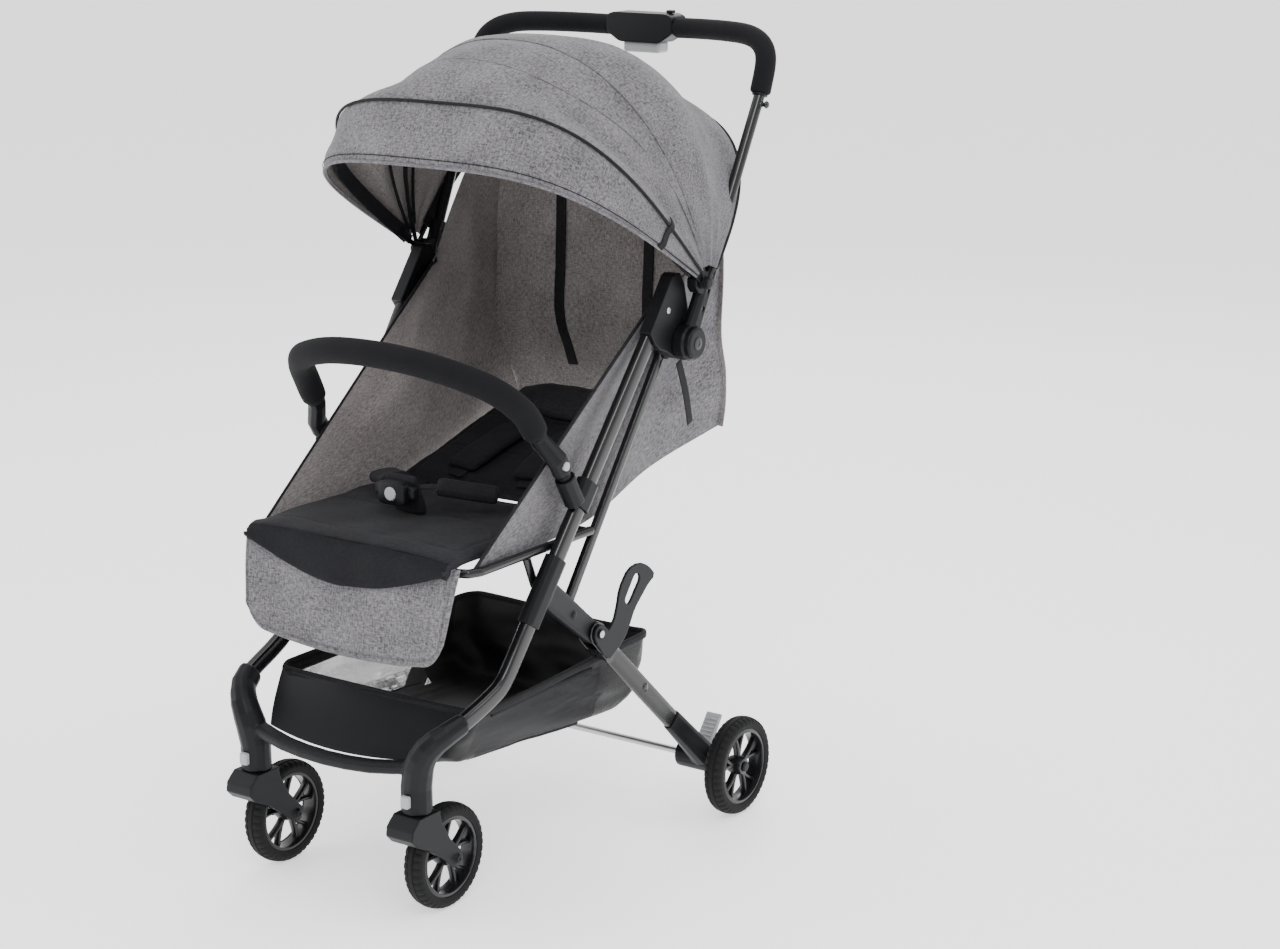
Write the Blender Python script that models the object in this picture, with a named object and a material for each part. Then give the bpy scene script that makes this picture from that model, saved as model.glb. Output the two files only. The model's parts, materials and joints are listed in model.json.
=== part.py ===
# Travel system stroller: a folding pushchair frame with a seat, a canopy and a basket.
# Metres. X is across (+X is the left side), the front faces -Y, Z is up from the floor.
# Points are written with Y = 0 at the front wheel axle. The parent empty centres the model.

import math

import bmesh
import bpy
from mathutils import Matrix, Vector

for old in list(bpy.data.objects):
    bpy.data.objects.remove(old)

# Clearances
fit_gap = 0.0003
axle_gap = 0.0003
rod_gap = 0.0005
grip_gap = 0.0006

# Wheels
wheel_radius = 0.0675
tyre_width = 0.028
tread_width = 0.016
rim_outer = 0.0517
rim_inner = 0.0462
rim_width = 0.022
hub_radius = 0.013
hub_width = 0.024
spoke_width = 0.009
spoke_thickness = 0.010
spoke_count = 5
wheel_facets = 26
axle_radius = 0.004

# Casters and front casting
caster_x = 0.132
caster_trail = 0.050
front_wheel_y = 0.0
swivel_plane_z = 0.1412
housing_radius = 0.0196
stem_radius = 0.006
stem_length = 0.024
swivel_bore = 0.0068
fork_slot_half = 0.0165
fork_arm = 0.0045
wheel_clearance = 0.004
fork_nose_y = -0.0853
crossbar_mid = Vector((0.0, -0.066, 0.188))
crossbar_end_z = 0.198
crossbar_depth = 0.024
crossbar_height = 0.016
lock_width = 0.012
lock_height = 0.016
lock_depth = 0.006
lock_z = 0.160

# Front tubes: a flat oval
tube_half_x = 0.008
tube_half_v = 0.0115
collar_half_x = 0.0115
collar_half_v = 0.0155

# Rear leg, pivot and rear axle
leg_pivot = Vector((0.181, 0.2459, 0.302))
rear_axle_y = 0.4725
rear_wheel_x = 0.262
leg_end_x = 0.212
arm_thickness = 0.016
arm_radius = 0.015
cheek_thickness = 0.0036
leg_half_x = 0.007
leg_half_v = 0.0135
leg_tube_share = 0.68
rocker_eye = Vector((0.0, 0.213, 0.331))
pivot_pin_radius = 0.004
boss_radius = 0.019
boss_inner_x = 0.172
boss_outer_x = 0.2355
brake_rod_radius = 0.005
brake_rod_far_x = 0.190
brake_rod_near_x = 0.2165
pedal_half_width = 0.012
pedal_x = 0.200
pedal_reach = 0.064
pedal_thickness = 0.007
pedal_ring = 0.0145

# Folding hub
hub_point = Vector((0.0, 0.404, 0.660))
hub_disc = 0.0237
bracket_x0 = 0.1960
bracket_x1 = 0.2143
socket_x0 = 0.2146
socket_x1 = 0.2300
cap_x1 = 0.2400
cap_radius = 0.0215
crank_x0 = 0.1908
crank_x1 = 0.1956
link_top = Vector((0.185, 0.4000, 0.6430))
link_half_x = 0.0055
link_half_v = 0.0080

# Handle
handle_radius = 0.0078
foam_radius = 0.0138
handle_hub_x = 0.2235
foam_start = Vector((0.236, 0.5537, 0.9675))
handle_mid = Vector((0.0, 0.634, 1.037))
housing_half_x = 0.054
housing_low_half_x = 0.033
housing_z0 = 1.017
housing_z1 = 1.057
housing_half_y = 0.018
lever_half_x = 0.030
lever_half_y = 0.013
lever_z0 = 1.003
lever_z1 = 1.0192
lever_travel = 0.008

# Canopy
canopy_pivot = Vector((0.2265, 0.4225, 0.7365))
bow_thickness = 0.0028
bow_half_width = 0.004
bow_first_x = 0.2342
front_bow_length = 0.3295
mid_bow_length = 0.3295
rear_bow_length = 0.3015
front_bow_angle = 146.0
mid_bow_angle = 108.0
rear_bow_angle = 51.0
canopy_cloth = 0.003

# Seat
rail_x = 0.1755
rail_half_x = 0.006
rail_z = 0.4345
seat_front_y = 0.0050
hinge_y = 0.2500
hinge_z = 0.4400
hinge_rod_radius = 0.005
seat_half_width = 0.1600
seat_pad_z0 = 0.4409
seat_pad_z1 = 0.4600
back_half_width = 0.1500
back_end = Vector((0.0, 0.548, 0.5300))
back_thickness = 0.016
calf_thickness = 0.012
calf_half_width = 0.172

# Bumper bar
bumper_radius = 0.017
post_radius = 0.0095
post_foot = Vector((0.1965, 0.1900, 0.4920))
post_slide = Vector((0.0, -0.504, 0.864)).normalized()
socket_outer = 0.0135

# Basket
basket_half_width = 0.160
basket_wall = 0.0025

x_axis = Vector((1.0, 0.0, 0.0))
y_axis = Vector((0.0, 1.0, 0.0))
z_axis = Vector((0.0, 0.0, 1.0))


# Shapes

def solid(rings, around=False):
    """A closed mesh through rings of points, capped at both ends or joined all the way round."""
    build = bmesh.new()
    rows = [[build.verts.new(point) for point in ring] for ring in rings]
    pairs = list(zip(rows, rows[1:]))
    if around:
        pairs.append((rows[-1], rows[0]))
    for low, high in pairs:
        for i in range(len(low)):
            j = (i + 1) % len(low)
            build.faces.new((low[i], low[j], high[j], high[i]))
    if not around:
        build.faces.new(rows[0][::-1])
        build.faces.new(rows[-1])
    bmesh.ops.recalc_face_normals(build, faces=build.faces)
    mesh = bpy.data.meshes.new("solid")
    build.to_mesh(mesh)
    build.free()
    return mesh


def oval(centre, across, along, half_across, half_along, sides, power=2.0):
    """A ring of points, round at power 2 and squarer above it."""
    ring = []
    for k in range(sides):
        turn = 2.0 * math.pi * (k + 0.5) / sides
        c = math.cos(turn)
        s = math.sin(turn)
        a = math.copysign(abs(c) ** (2.0 / power), c) * half_across
        b = math.copysign(abs(s) ** (2.0 / power), s) * half_along
        ring.append(centre + across * a + along * b)
    return ring


def frames(points, across):
    """The tangent, the across and the along direction at each point, turned as little as possible."""
    out = []
    u = across
    for i, point in enumerate(points):
        before = points[max(i - 1, 0)]
        after = points[min(i + 1, len(points) - 1)]
        tangent = (after - before).normalized()
        u = (u - tangent * u.dot(tangent)).normalized()
        out.append((point, tangent, u, tangent.cross(u)))
    return out


def listed(value, count):
    return value if isinstance(value, list) else [value] * count


def sweep(points, half_across, half_along, sides=12, across=x_axis, power=2.0):
    """A bar along the points. The half sizes are numbers or one value a point."""
    wide = listed(half_across, len(points))
    tall = listed(half_along, len(points))
    rows = frames(points, across)
    return solid([oval(p, u, v, wide[i], tall[i], sides, power) for i, (p, t, u, v) in enumerate(rows)])


def smooth(points, step):
    """Points at about one step along a curve through the given points."""
    ends = [points[0] * 2 - points[1]] + list(points) + [points[-1] * 2 - points[-2]]
    out = []
    for i in range(1, len(ends) - 2):
        a, b, c, d = ends[i - 1], ends[i], ends[i + 1], ends[i + 2]
        count = max(1, round((c - b).length / step))
        for k in range(count):
            t = k / count
            near = b * 2 + (c - a) * t
            far = (a * 2 - b * 5 + c * 4 - d) * t ** 2 + (b * 3 - a - c * 3 + d) * t ** 3
            out.append((near + far) * 0.5)
    out.append(Vector(points[-1]))
    return out


def disc(centre, axis, profile, sides=20, phase=0.0):
    """A turned solid: profile holds (along the axis, radius) from one end to the other."""
    u = y_axis if abs(axis.x) > 0.5 else x_axis
    u = (u - axis * u.dot(axis)).normalized()
    v = axis.cross(u)
    rings = []
    for along, radius in profile:
        ring = []
        for k in range(sides):
            turn = 2.0 * math.pi * (k + phase) / sides
            ring.append(centre + axis * along + u * math.cos(turn) * radius + v * math.sin(turn) * radius)
        rings.append(ring)
    return solid(rings)


def annulus(centre, axis, loop, sides=20, scale=1.0):
    """A turned ring: loop holds (along the axis, radius) once round its section."""
    u = y_axis if abs(axis.x) > 0.5 else x_axis
    v = axis.cross(u)
    rings = []
    for k in range(sides):
        turn = 2.0 * math.pi * k / sides
        out = u * math.cos(turn) + v * math.sin(turn)
        rings.append([centre + axis * along + out * radius * scale for along, radius in loop])
    return solid(rings, around=True)


def rounded(corners, radius, steps=3):
    """A flat outline with its corners rounded. A corner may carry its own radius."""
    out = []
    for i, corner in enumerate(corners):
        here = Vector(corner[:2])
        before = Vector(corners[i - 1][:2]) - here
        after = Vector(corners[(i + 1) % len(corners)][:2]) - here
        own = corner[2] if len(corner) > 2 else radius
        reach = min(own, before.length * 0.45, after.length * 0.45)
        if reach < 1e-5:
            out.append(here)
            continue
        start = here + before.normalized() * reach
        end = here + after.normalized() * reach
        for k in range(steps + 1):
            t = k / steps
            out.append(start * (1 - t) ** 2 + here * 2 * t * (1 - t) + end * t ** 2)
    return out


def plate(outline, x0, x1):
    """An outline of (Y, Z) points pulled across from x0 to x1."""
    return solid([[Vector((x, p[0], p[1])) for p in outline] for x in (x0, x1)])


def block(low, high, round_by=0.0):
    """A box, with its edges broken when round_by is given."""
    low = Vector(low)
    high = Vector(high)
    build = bmesh.new()
    bmesh.ops.create_cube(build, size=1.0)
    for vert in build.verts:
        vert.co = Vector([(low[i] + high[i]) / 2 + vert.co[i] * (high[i] - low[i]) for i in range(3)])
    if round_by:
        bmesh.ops.bevel(build, geom=build.edges, offset=round_by, segments=1, affect="EDGES", profile=0.5)
    mesh = bpy.data.meshes.new("block")
    build.to_mesh(mesh)
    build.free()
    return mesh


def combine(base, others, operation):
    """One mesh from a Boolean of the base with the others, in turn."""
    helpers = []
    body = bpy.data.objects.new("base", base)
    bpy.context.scene.collection.objects.link(body)
    for mesh in others:
        helper = bpy.data.objects.new("helper", mesh)
        bpy.context.scene.collection.objects.link(helper)
        helpers.append(helper)
        cut = body.modifiers.new("cut", "BOOLEAN")
        cut.operation = operation
        cut.solver = "EXACT"
        cut.object = helper
    graph = bpy.context.evaluated_depsgraph_get()
    graph.update()
    result = bpy.data.meshes.new_from_object(body.evaluated_get(graph))
    for helper in helpers + [body]:
        bpy.data.objects.remove(helper)
    return result


def union(base, *others):
    return combine(base, others, "UNION")


def cut(base, *others):
    return combine(base, others, "DIFFERENCE")


def mirrored(mesh):
    other = mesh.copy()
    other.transform(Matrix.Scale(-1.0, 4, x_axis))
    other.flip_normals()
    return other


# Bodies: an empty on each joint's axis

stroller = bpy.data.objects.new("stroller", None)
bpy.context.scene.collection.objects.link(stroller)
bodies = {"front_frame": (stroller, Vector((0.0, 0.0, 0.0)))}


def body(name, parent, point):
    empty = bpy.data.objects.new(name + "_body", None)
    bpy.context.scene.collection.objects.link(empty)
    holder, held_at = bodies[parent]
    empty.parent = holder
    empty.location = Vector(point) - held_at
    bodies[name] = (empty, Vector(point))


looks = {
    "black_tube": ((0.012, 0.012, 0.014), 0.28, 0.6),
    "black_plastic": ((0.018, 0.019, 0.024), 0.55, 0.0),
    "grey_plastic": ((0.36, 0.37, 0.38), 0.5, 0.0),
    "charcoal_foam": ((0.022, 0.022, 0.025), 0.9, 0.0),
    "black_rubber": ((0.015, 0.015, 0.016), 0.8, 0.0),
    "grey_cloth": ((0.235, 0.230, 0.240), 0.95, 0.0),
    "inner_cloth": ((0.165, 0.150, 0.148), 0.95, 0.0),
    "black_cloth": ((0.014, 0.014, 0.018), 0.95, 0.0),
    "pin_steel": ((0.30, 0.30, 0.32), 0.35, 1.0),
}


def piece(name, mesh, owner, look):
    """A named object with its own material, with its origin on its body's axis."""
    holder, point = bodies[owner]
    mesh.name = name
    mesh.transform(Matrix.Translation(-point))
    mesh.shade_smooth()
    mesh.set_sharp_from_angle(angle=math.radians(35))
    colour, roughness, metallic = looks[look]
    material = bpy.data.materials.new(name + "_" + look)
    material.use_nodes = True
    shader = material.node_tree.nodes["Principled BSDF"]
    shader.inputs["Base Color"].default_value = (*colour, 1.0)
    shader.inputs["Roughness"].default_value = roughness
    shader.inputs["Metallic"].default_value = metallic
    mesh.materials.clear()
    mesh.materials.append(material)
    made = bpy.data.objects.new(name, mesh)
    made.parent = holder
    bpy.context.scene.collection.objects.link(made)
    return made


def pair(name, mesh, owner, look, owned=True):
    """The left piece and its mirror image. The owner's name takes the side when owned is set."""
    for side, shape in (("l", mesh), ("r", mirrored(mesh))):
        piece(name + "_" + side, shape, owner + "_" + side if owned else owner, look)


# Wheels

def tyre_mesh(x, y):
    half = tyre_width / 2
    tread = tread_width / 2
    inner = rim_outer + fit_gap
    side = wheel_radius - 0.005
    loop = [(-rim_width / 2, inner), (-half, inner + 0.004), (-half + 0.0005, side), (-tread, wheel_radius)]
    loop += [(-along, radius) for along, radius in reversed(loop)]
    flat = 1.0 / math.cos(math.pi / wheel_facets)
    return annulus(Vector((x, y, wheel_radius)), x_axis, loop, wheel_facets, flat)


def rim_mesh(x, y):
    flat = 1.0 / math.cos(math.pi / wheel_facets)
    centre = Vector((x, y, wheel_radius))
    half = rim_width / 2
    loop = [(-half, rim_inner), (-half, rim_outer), (half, rim_outer), (half, rim_inner)]
    ring = annulus(centre, x_axis, loop, wheel_facets, flat)
    bore = (axle_radius + axle_gap) * 1.02
    half = hub_width / 2
    middle = annulus(centre, x_axis, [(-half, bore), (-half, hub_radius), (half, hub_radius), (half, bore)], 14)
    spokes = []
    for k in range(spoke_count):
        turn = Matrix.Rotation(2 * math.pi * k / spoke_count + math.pi / 2, 4, "X")
        low = (-spoke_thickness / 2, -spoke_width / 2, hub_radius - 0.002)
        high = (spoke_thickness / 2, spoke_width / 2, rim_inner + 0.002)
        spoke = block(low, high)
        spoke.transform(Matrix.Translation(centre) @ turn)
        spokes.append(spoke)
    return union(ring, middle, *spokes)


# Caster forks: crown, skirt, two arms, axle bolt and stem in one casting

def fork_mesh():
    x = caster_x
    outline = [(-0.0305, swivel_plane_z), (-0.0290, 0.128), (-0.012, 0.098), (0.0105, 0.0745), (0.0118, 0.0665)]
    outline += [(0.0080, 0.0580), (0.0, 0.0558), (-0.0085, 0.0585), (-0.020, 0.070), (-0.048, 0.092)]
    outline += [(-0.076, 0.1065), (fork_nose_y, 0.1165), (-0.0840, 0.1285), (-0.0700, swivel_plane_z)]
    half = fork_slot_half + fork_arm
    form = plate(outline, x - half, x + half)
    wheel = Vector((x, front_wheel_y, wheel_radius))
    inside = wheel_radius + wheel_clearance
    opening = disc(wheel, x_axis, [(-fork_slot_half, inside), (fork_slot_half, inside)], 20)
    form = cut(form, opening)
    stem_at = Vector((x, -caster_trail, 0.0))
    crown = disc(stem_at, z_axis, [(0.1335, housing_radius), (swivel_plane_z, housing_radius)], 16)
    top = swivel_plane_z + stem_length
    stem = disc(stem_at, z_axis, [(swivel_plane_z - 0.004, stem_radius), (top, stem_radius)], 10)
    reach = half + 0.0035
    head = 0.0065
    bolt = disc(wheel, x_axis, [(-reach + 0.0005, axle_radius), (reach - 0.0005, axle_radius)], 10)
    left = disc(wheel, x_axis, [(half - 0.0005, head), (reach - 0.001, head), (reach, head - 0.0015)], 10)
    right = disc(wheel, x_axis, [(-reach, head - 0.0015), (-reach + 0.001, head), (-half + 0.0005, head)], 10)
    return union(form, crown, stem, bolt, left, right)


# The front frame's side line: up through the front casting, then along the front tube

side_line = smooth([
    Vector((caster_x, -caster_trail, swivel_plane_z + fit_gap)),
    Vector((caster_x, -caster_trail, 0.160)),
    Vector((caster_x, -caster_trail, 0.175)),
    Vector((0.137, -0.052, 0.200)),
    Vector((0.150, -0.049, 0.225)),
    Vector((0.166, -0.032, 0.242)),
    Vector((0.1735, -0.010, 0.2515)),
    Vector((0.178, 0.0386, 0.270)),
    Vector((0.1794, 0.0636, 0.2845)),
    Vector((0.1813, 0.0887, 0.3163)),
    Vector((0.1842, 0.109, 0.347)),
    Vector((0.190, 0.161, 0.4224)),
    Vector((0.1975, 0.276, 0.5777)),
    Vector((0.205, 0.391, 0.733)),
], 0.018)
casting_top = 0.2515


def tube_point(z):
    """The point of the side line at a height, above the casting."""
    for a, b in zip(side_line, side_line[1:]):
        if a.z <= z <= b.z:
            return a.lerp(b, (z - a.z) / (b.z - a.z))
    return side_line[-1].copy()


casting_aim = (tube_point(casting_top + 0.004) - tube_point(casting_top - 0.004)).normalized()


def casting_mesh():
    low = side_line[0]
    end = tube_point(casting_top)
    line = [low, low + z_axis * 0.004] + [p for p in side_line if low.z + 0.005 < p.z < casting_top - 0.004]
    line += [end - casting_aim * 0.003, end]
    count = len(line)
    entry = 0.0130
    wide = []
    tall = []
    for i, point in enumerate(line):
        t = max(0.0, (i - count + 7) / 6)
        wide.append(housing_radius + (entry - 0.001 - housing_radius) * t)
        tall.append(housing_radius + (entry + 0.003 - housing_radius) * t)
    legs = []
    for flip in (1, -1):
        leg = sweep(line, wide, tall, 12)
        well = Vector((caster_x, -caster_trail, 0.0))
        depth = swivel_plane_z + stem_length + 0.002
        hole = disc(well, z_axis, [(0.13, swivel_bore), (depth, swivel_bore)], 10)
        leg = cut(leg, hole)
        legs.append(leg if flip == 1 else mirrored(leg))
    end = Vector((0.128, -0.050, crossbar_end_z))
    near = Vector((0.070, -0.0615, 0.1905))
    line = [end, near, crossbar_mid, Vector((-near.x, near.y, near.z)), Vector((-end.x, end.y, end.z))]
    bar = sweep(smooth(line, 0.030), crossbar_height / 2, crossbar_depth / 2, 8, z_axis, 3.0)
    return union(bar, *legs)


def lock_mesh():
    front = -caster_trail - housing_radius
    x = caster_x
    low = (x - lock_width / 2, front - lock_depth, lock_z - lock_height / 2)
    high = (x + lock_width / 2, front + 0.004, lock_z + lock_height / 2)
    well = Vector((x, -caster_trail, 0.0))
    around = housing_radius + fit_gap
    return cut(block(low, high, 0.0015), disc(well, z_axis, [(0.13, around), (0.19, around)], 20, 0.5))


def front_tube_mesh():
    start = tube_point(casting_top)
    line = [p for p in side_line if p.z > casting_top + 0.006]
    line = [start + casting_aim * fit_gap, start + casting_aim * 0.003] + line
    keep = [p for i, p in enumerate(line) if p.z < 0.43 or i % 4 == 0 or i == len(line) - 1]
    return sweep(keep, tube_half_x, tube_half_v, 10, x_axis, 3.0)


def grown_tube(z0, z1, grow=fit_gap):
    line = [tube_point(z0 + (z1 - z0) * k / 4) for k in range(5)]
    return sweep(line, tube_half_x + grow, tube_half_v + grow, 10, x_axis, 3.0)


def connector_mesh():
    line = [tube_point(0.347 + (0.4224 - 0.347) * k / 3) for k in range(4)]
    form = sweep(line, collar_half_x, collar_half_v, 10, x_axis, 3.0)
    start = Vector((0.187, 0.142, 0.381))
    aim = (leg_pivot - start).normalized()
    near = Vector((leg_pivot.x, leg_pivot.y - aim.y * 0.030, leg_pivot.z - aim.z * 0.030))
    arm_line = [start, start.lerp(near, 0.6), near, leg_pivot]
    arm = sweep(arm_line, arm_thickness / 2, [0.0185, 0.0170, 0.0158, arm_radius], 10, x_axis, 5.0)
    x = leg_pivot.x
    at = Vector((0.0, leg_pivot.y, leg_pivot.z))
    half = arm_thickness / 2
    end = disc(at, x_axis, [(x - half, arm_radius), (x + half, arm_radius)], 12)
    pin = disc(at, x_axis, [(0.1675, pivot_pin_radius), (0.1985, pivot_pin_radius)], 10)
    head = disc(at, x_axis, [(0.1974, 0.0068), (0.1986, 0.0068), (0.1994, 0.0055)], 10)
    middle = start.lerp(leg_pivot, 0.52) + aim.cross(x_axis) * 0.001
    bolt = disc(Vector((0.0, middle.y, middle.z)), x_axis, [(0.176, 0.0048), (0.1935, 0.0048)], 10)
    form = union(form, arm, end, bolt, pin, head)
    return cut(form, grown_tube(0.347 - 0.0251, 0.4224 + 0.0251))


# Rear leg: a forked head round the arm's end, the rocker that the link pulls, and the tube

leg_foot = Vector((leg_end_x, rear_axle_y, wheel_radius))
leg_vector = leg_foot - leg_pivot
leg_flat = Vector((0.0, leg_vector.y, leg_vector.z)).normalized()
leg_across = Vector((0.0, -leg_flat.z, leg_flat.y))
slot_x0 = leg_pivot.x - arm_thickness / 2 - fit_gap
slot_x1 = leg_pivot.x + arm_thickness / 2 + fit_gap
head_x0 = slot_x0 - cheek_thickness
head_x1 = slot_x1 + cheek_thickness


def around_pivot(along, across):
    point = leg_pivot + leg_flat * along + leg_across * across
    return (point.y, point.z)


def hull_of_two(a, ra, b, rb, steps=5):
    """An outline of (Y, Z) points round two circles."""
    gap = Vector((b[0] - a[0], b[1] - a[1]))
    aim = math.atan2(gap.y, gap.x)
    lean = math.acos((ra - rb) / gap.length)
    out = []
    for k in range(steps + 1):
        turn = aim + lean + (2 * math.pi - 2 * lean) * k / steps
        out.append((a[0] + ra * math.cos(turn), a[1] + ra * math.sin(turn)))
    for k in range(steps + 1):
        turn = aim - lean + 2 * lean * k / steps
        out.append((b[0] + rb * math.cos(turn), b[1] + rb * math.sin(turn)))
    return out


def rear_leg_mesh():
    pivot = (leg_pivot.y, leg_pivot.z)
    head = plate(hull_of_two(pivot, 0.0155, around_pivot(0.045, 0.0), 0.0145), head_x0, head_x1)
    corners = [around_pivot(-0.08, -0.05), around_pivot(-0.08, 0.05), around_pivot(0.022, 0.05), around_pivot(0.022, -0.05)]
    head = cut(head, plate(corners, slot_x0, slot_x1))
    rocker = plate(hull_of_two(pivot, 0.0125, (rocker_eye.y, rocker_eye.z), 0.0095), head_x0, slot_x0)
    start = leg_pivot + leg_vector * 0.11
    end = leg_pivot + leg_vector * leg_tube_share
    tube = sweep([start, end], leg_half_x, leg_half_v, 10, x_axis, 3.0)
    bolt_at = leg_pivot + leg_vector * 0.42
    bolt = disc(bolt_at, x_axis, [(-leg_half_x - 0.0012, 0.0045), (leg_half_x + 0.0012, 0.0045)], 10)
    form = union(head, rocker, tube, bolt)
    at = Vector((0.0, leg_pivot.y, leg_pivot.z))
    hole = pivot_pin_radius + axle_gap
    return cut(form, disc(at, x_axis, [(0.16, hole), (0.205, hole)], 10))


def rear_bracket_mesh(with_pedal):
    aim = leg_vector.normalized()
    start = leg_pivot + leg_vector * leg_tube_share + aim * fit_gap
    line = [start, leg_pivot + leg_vector * 0.84, leg_pivot + leg_vector * 0.97]
    form = sweep(line, [0.0085, 0.0115, 0.0150], [0.0150, 0.0160, 0.0175], 10, x_axis, 3.0)
    axle = Vector((0.0, rear_axle_y, wheel_radius))
    boss = disc(axle, x_axis, [(boss_inner_x, boss_radius), (boss_outer_x, boss_radius)], 16)
    wheel_inner = rear_wheel_x - hub_width / 2 - fit_gap
    wheel_outer = rear_wheel_x + hub_width / 2 + fit_gap
    collar = disc(axle, x_axis, [(boss_outer_x - 0.002, 0.0095), (wheel_inner, 0.0075)], 12)
    stub = disc(axle, x_axis, [(boss_outer_x - 0.004, axle_radius), (wheel_outer + 0.001, axle_radius)], 10)
    cap = disc(axle, x_axis, [(wheel_outer, 0.0075), (wheel_outer + 0.002, 0.0075), (wheel_outer + 0.0032, 0.005)], 12)
    form = union(form, boss, collar, stub, cap)
    hole = brake_rod_radius + rod_gap
    form = cut(form, disc(axle, x_axis, [(0.15, hole), (brake_rod_near_x + 0.0025, hole)], 12))
    if with_pedal:
        side = pedal_half_width + 0.0008
        ring = pedal_ring + 0.0012
        around = disc(axle, x_axis, [(pedal_x - side, ring), (pedal_x + side, ring)], 16)
        behind = block((pedal_x - side, rear_axle_y, 0.045), (pedal_x + side, rear_axle_y + 0.04, 0.105))
        form = cut(form, around, behind)
    return form


def pedal_mesh():
    axle = Vector((0.0, rear_axle_y, wheel_radius))
    x0 = pedal_x - pedal_half_width
    x1 = pedal_x + pedal_half_width
    ring = disc(axle, x_axis, [(x0, pedal_ring), (x1, pedal_ring)], 18)
    aim = Vector((0.616, 0.788)).normalized()
    side = Vector((-aim.y, aim.x)) * pedal_thickness / 2
    foot = Vector((rear_axle_y, wheel_radius))
    tip = foot + aim * pedal_reach
    outline = rounded([foot + side, tip + side * 0.8, tip - side * 0.8, foot - side * 1.3], 0.002, 2)
    tongue = plate(outline, x0 + 0.0005, x1 - 0.0005)
    hole = brake_rod_radius + fit_gap
    return cut(union(ring, tongue), disc(axle, x_axis, [(x0 - 0.01, hole), (x1 + 0.01, hole)], 12))


# Latch hook: a flat plate with a finger hole, on the leg pivot

def hook_mesh():
    left = [(0.2368, 0.2900), (0.2560, 0.2990), (0.2740, 0.3080), (0.2830, 0.3280), (0.2890, 0.3520)]
    left += [(0.3090, 0.3740), (0.3340, 0.3770), (0.3560, 0.3670), (0.3720, 0.3500)]
    right = [(0.3560, 0.3440), (0.3400, 0.3300), (0.3230, 0.3160), (0.3140, 0.3000), (0.3010, 0.2820)]
    right += [(0.2800, 0.2690), (0.2620, 0.2600), (0.2500, 0.2855), (0.2400, 0.2870)]
    outline = rounded(left + right, 0.006, 1)
    x0 = head_x1 + 0.0004
    form = plate(outline, x0, x0 + 0.0038)
    pivot = hull_of_two((leg_pivot.y, leg_pivot.z), 0.0125, (0.2650, 0.2800), 0.0150)
    form = union(form, plate(pivot, x0, x0 + 0.0038))
    window = hull_of_two((0.3080, 0.3330), 0.0065, (0.3270, 0.3560), 0.0075, 5)
    at = Vector((0.0, leg_pivot.y, leg_pivot.z))
    hole = pivot_pin_radius + axle_gap
    return cut(form, plate(window, x0 - 0.01, x0 + 0.02), disc(at, x_axis, [(0.18, hole), (0.21, hole)], 10))


# Folding hub

def bracket_mesh():
    outline = [(0.3333, 0.6812), (0.3852, 0.7512, 0.004), (0.4010, 0.7500), (0.4110, 0.7340), (0.4190, 0.7020)]
    outline += [(0.4262, 0.6760), (0.4277, 0.6600), (0.4242, 0.6480), (0.4165, 0.6400), (0.4040, 0.6363)]
    outline += [(0.3910, 0.6400), (0.3700, 0.6520), (0.3480, 0.6600, 0.006)]
    form = plate(rounded(outline, 0.0, 1), bracket_x0, bracket_x1)
    hole = pivot_pin_radius + axle_gap
    shaft = disc(hub_point, x_axis, [(0.18, hole + 0.001), (0.23, hole + 0.001)], 12)
    end = side_line[-1]
    near = tube_point(0.60)
    line = [near, tube_point(0.68), end + (end - near).normalized() * fit_gap]
    well = sweep(line, tube_half_x + fit_gap, tube_half_v + fit_gap, 10, x_axis, 3.0)
    return cut(form, shaft, well)


handle_line = [
    Vector((handle_hub_x, hub_point.y, hub_point.z)),
    foam_start,
    Vector((0.2345, 0.569, 1.007)),
    Vector((0.222, 0.580, 1.027)),
    Vector((0.195, 0.592, 1.0375)),
    Vector((0.150, 0.607, 1.040)),
    Vector((0.080, 0.627, 1.039)),
    handle_mid,
]
handle_aim = (foam_start - handle_line[0]).normalized()


def handle_at(length):
    return handle_line[0] + handle_aim * length


handle_near = [handle_at(0.030), handle_at(0.110), handle_at(0.230), handle_at(0.315)]
handle_near += smooth(handle_line[1:], 0.030)
handle_far = [Vector((-p.x, p.y, p.z)) for p in reversed(handle_near[:-1])]
handle_rows = frames(handle_near + handle_far, x_axis)


def handle_rings(first, last, radius):
    """Rings of the handle's own line, so that each piece on the tube turns with it."""
    return [oval(p, u, v, radius, radius, 10) for p, t, u, v in handle_rows[first:last]]


def between(a, b, share, radius):
    """A ring part of the way from one ring of the handle's line to the next."""
    low, high = handle_rings(a, a + 1, radius)[0], handle_rings(b, b + 1, radius)[0]
    return [p.lerp(q, share) for p, q in zip(low, high)]


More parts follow.
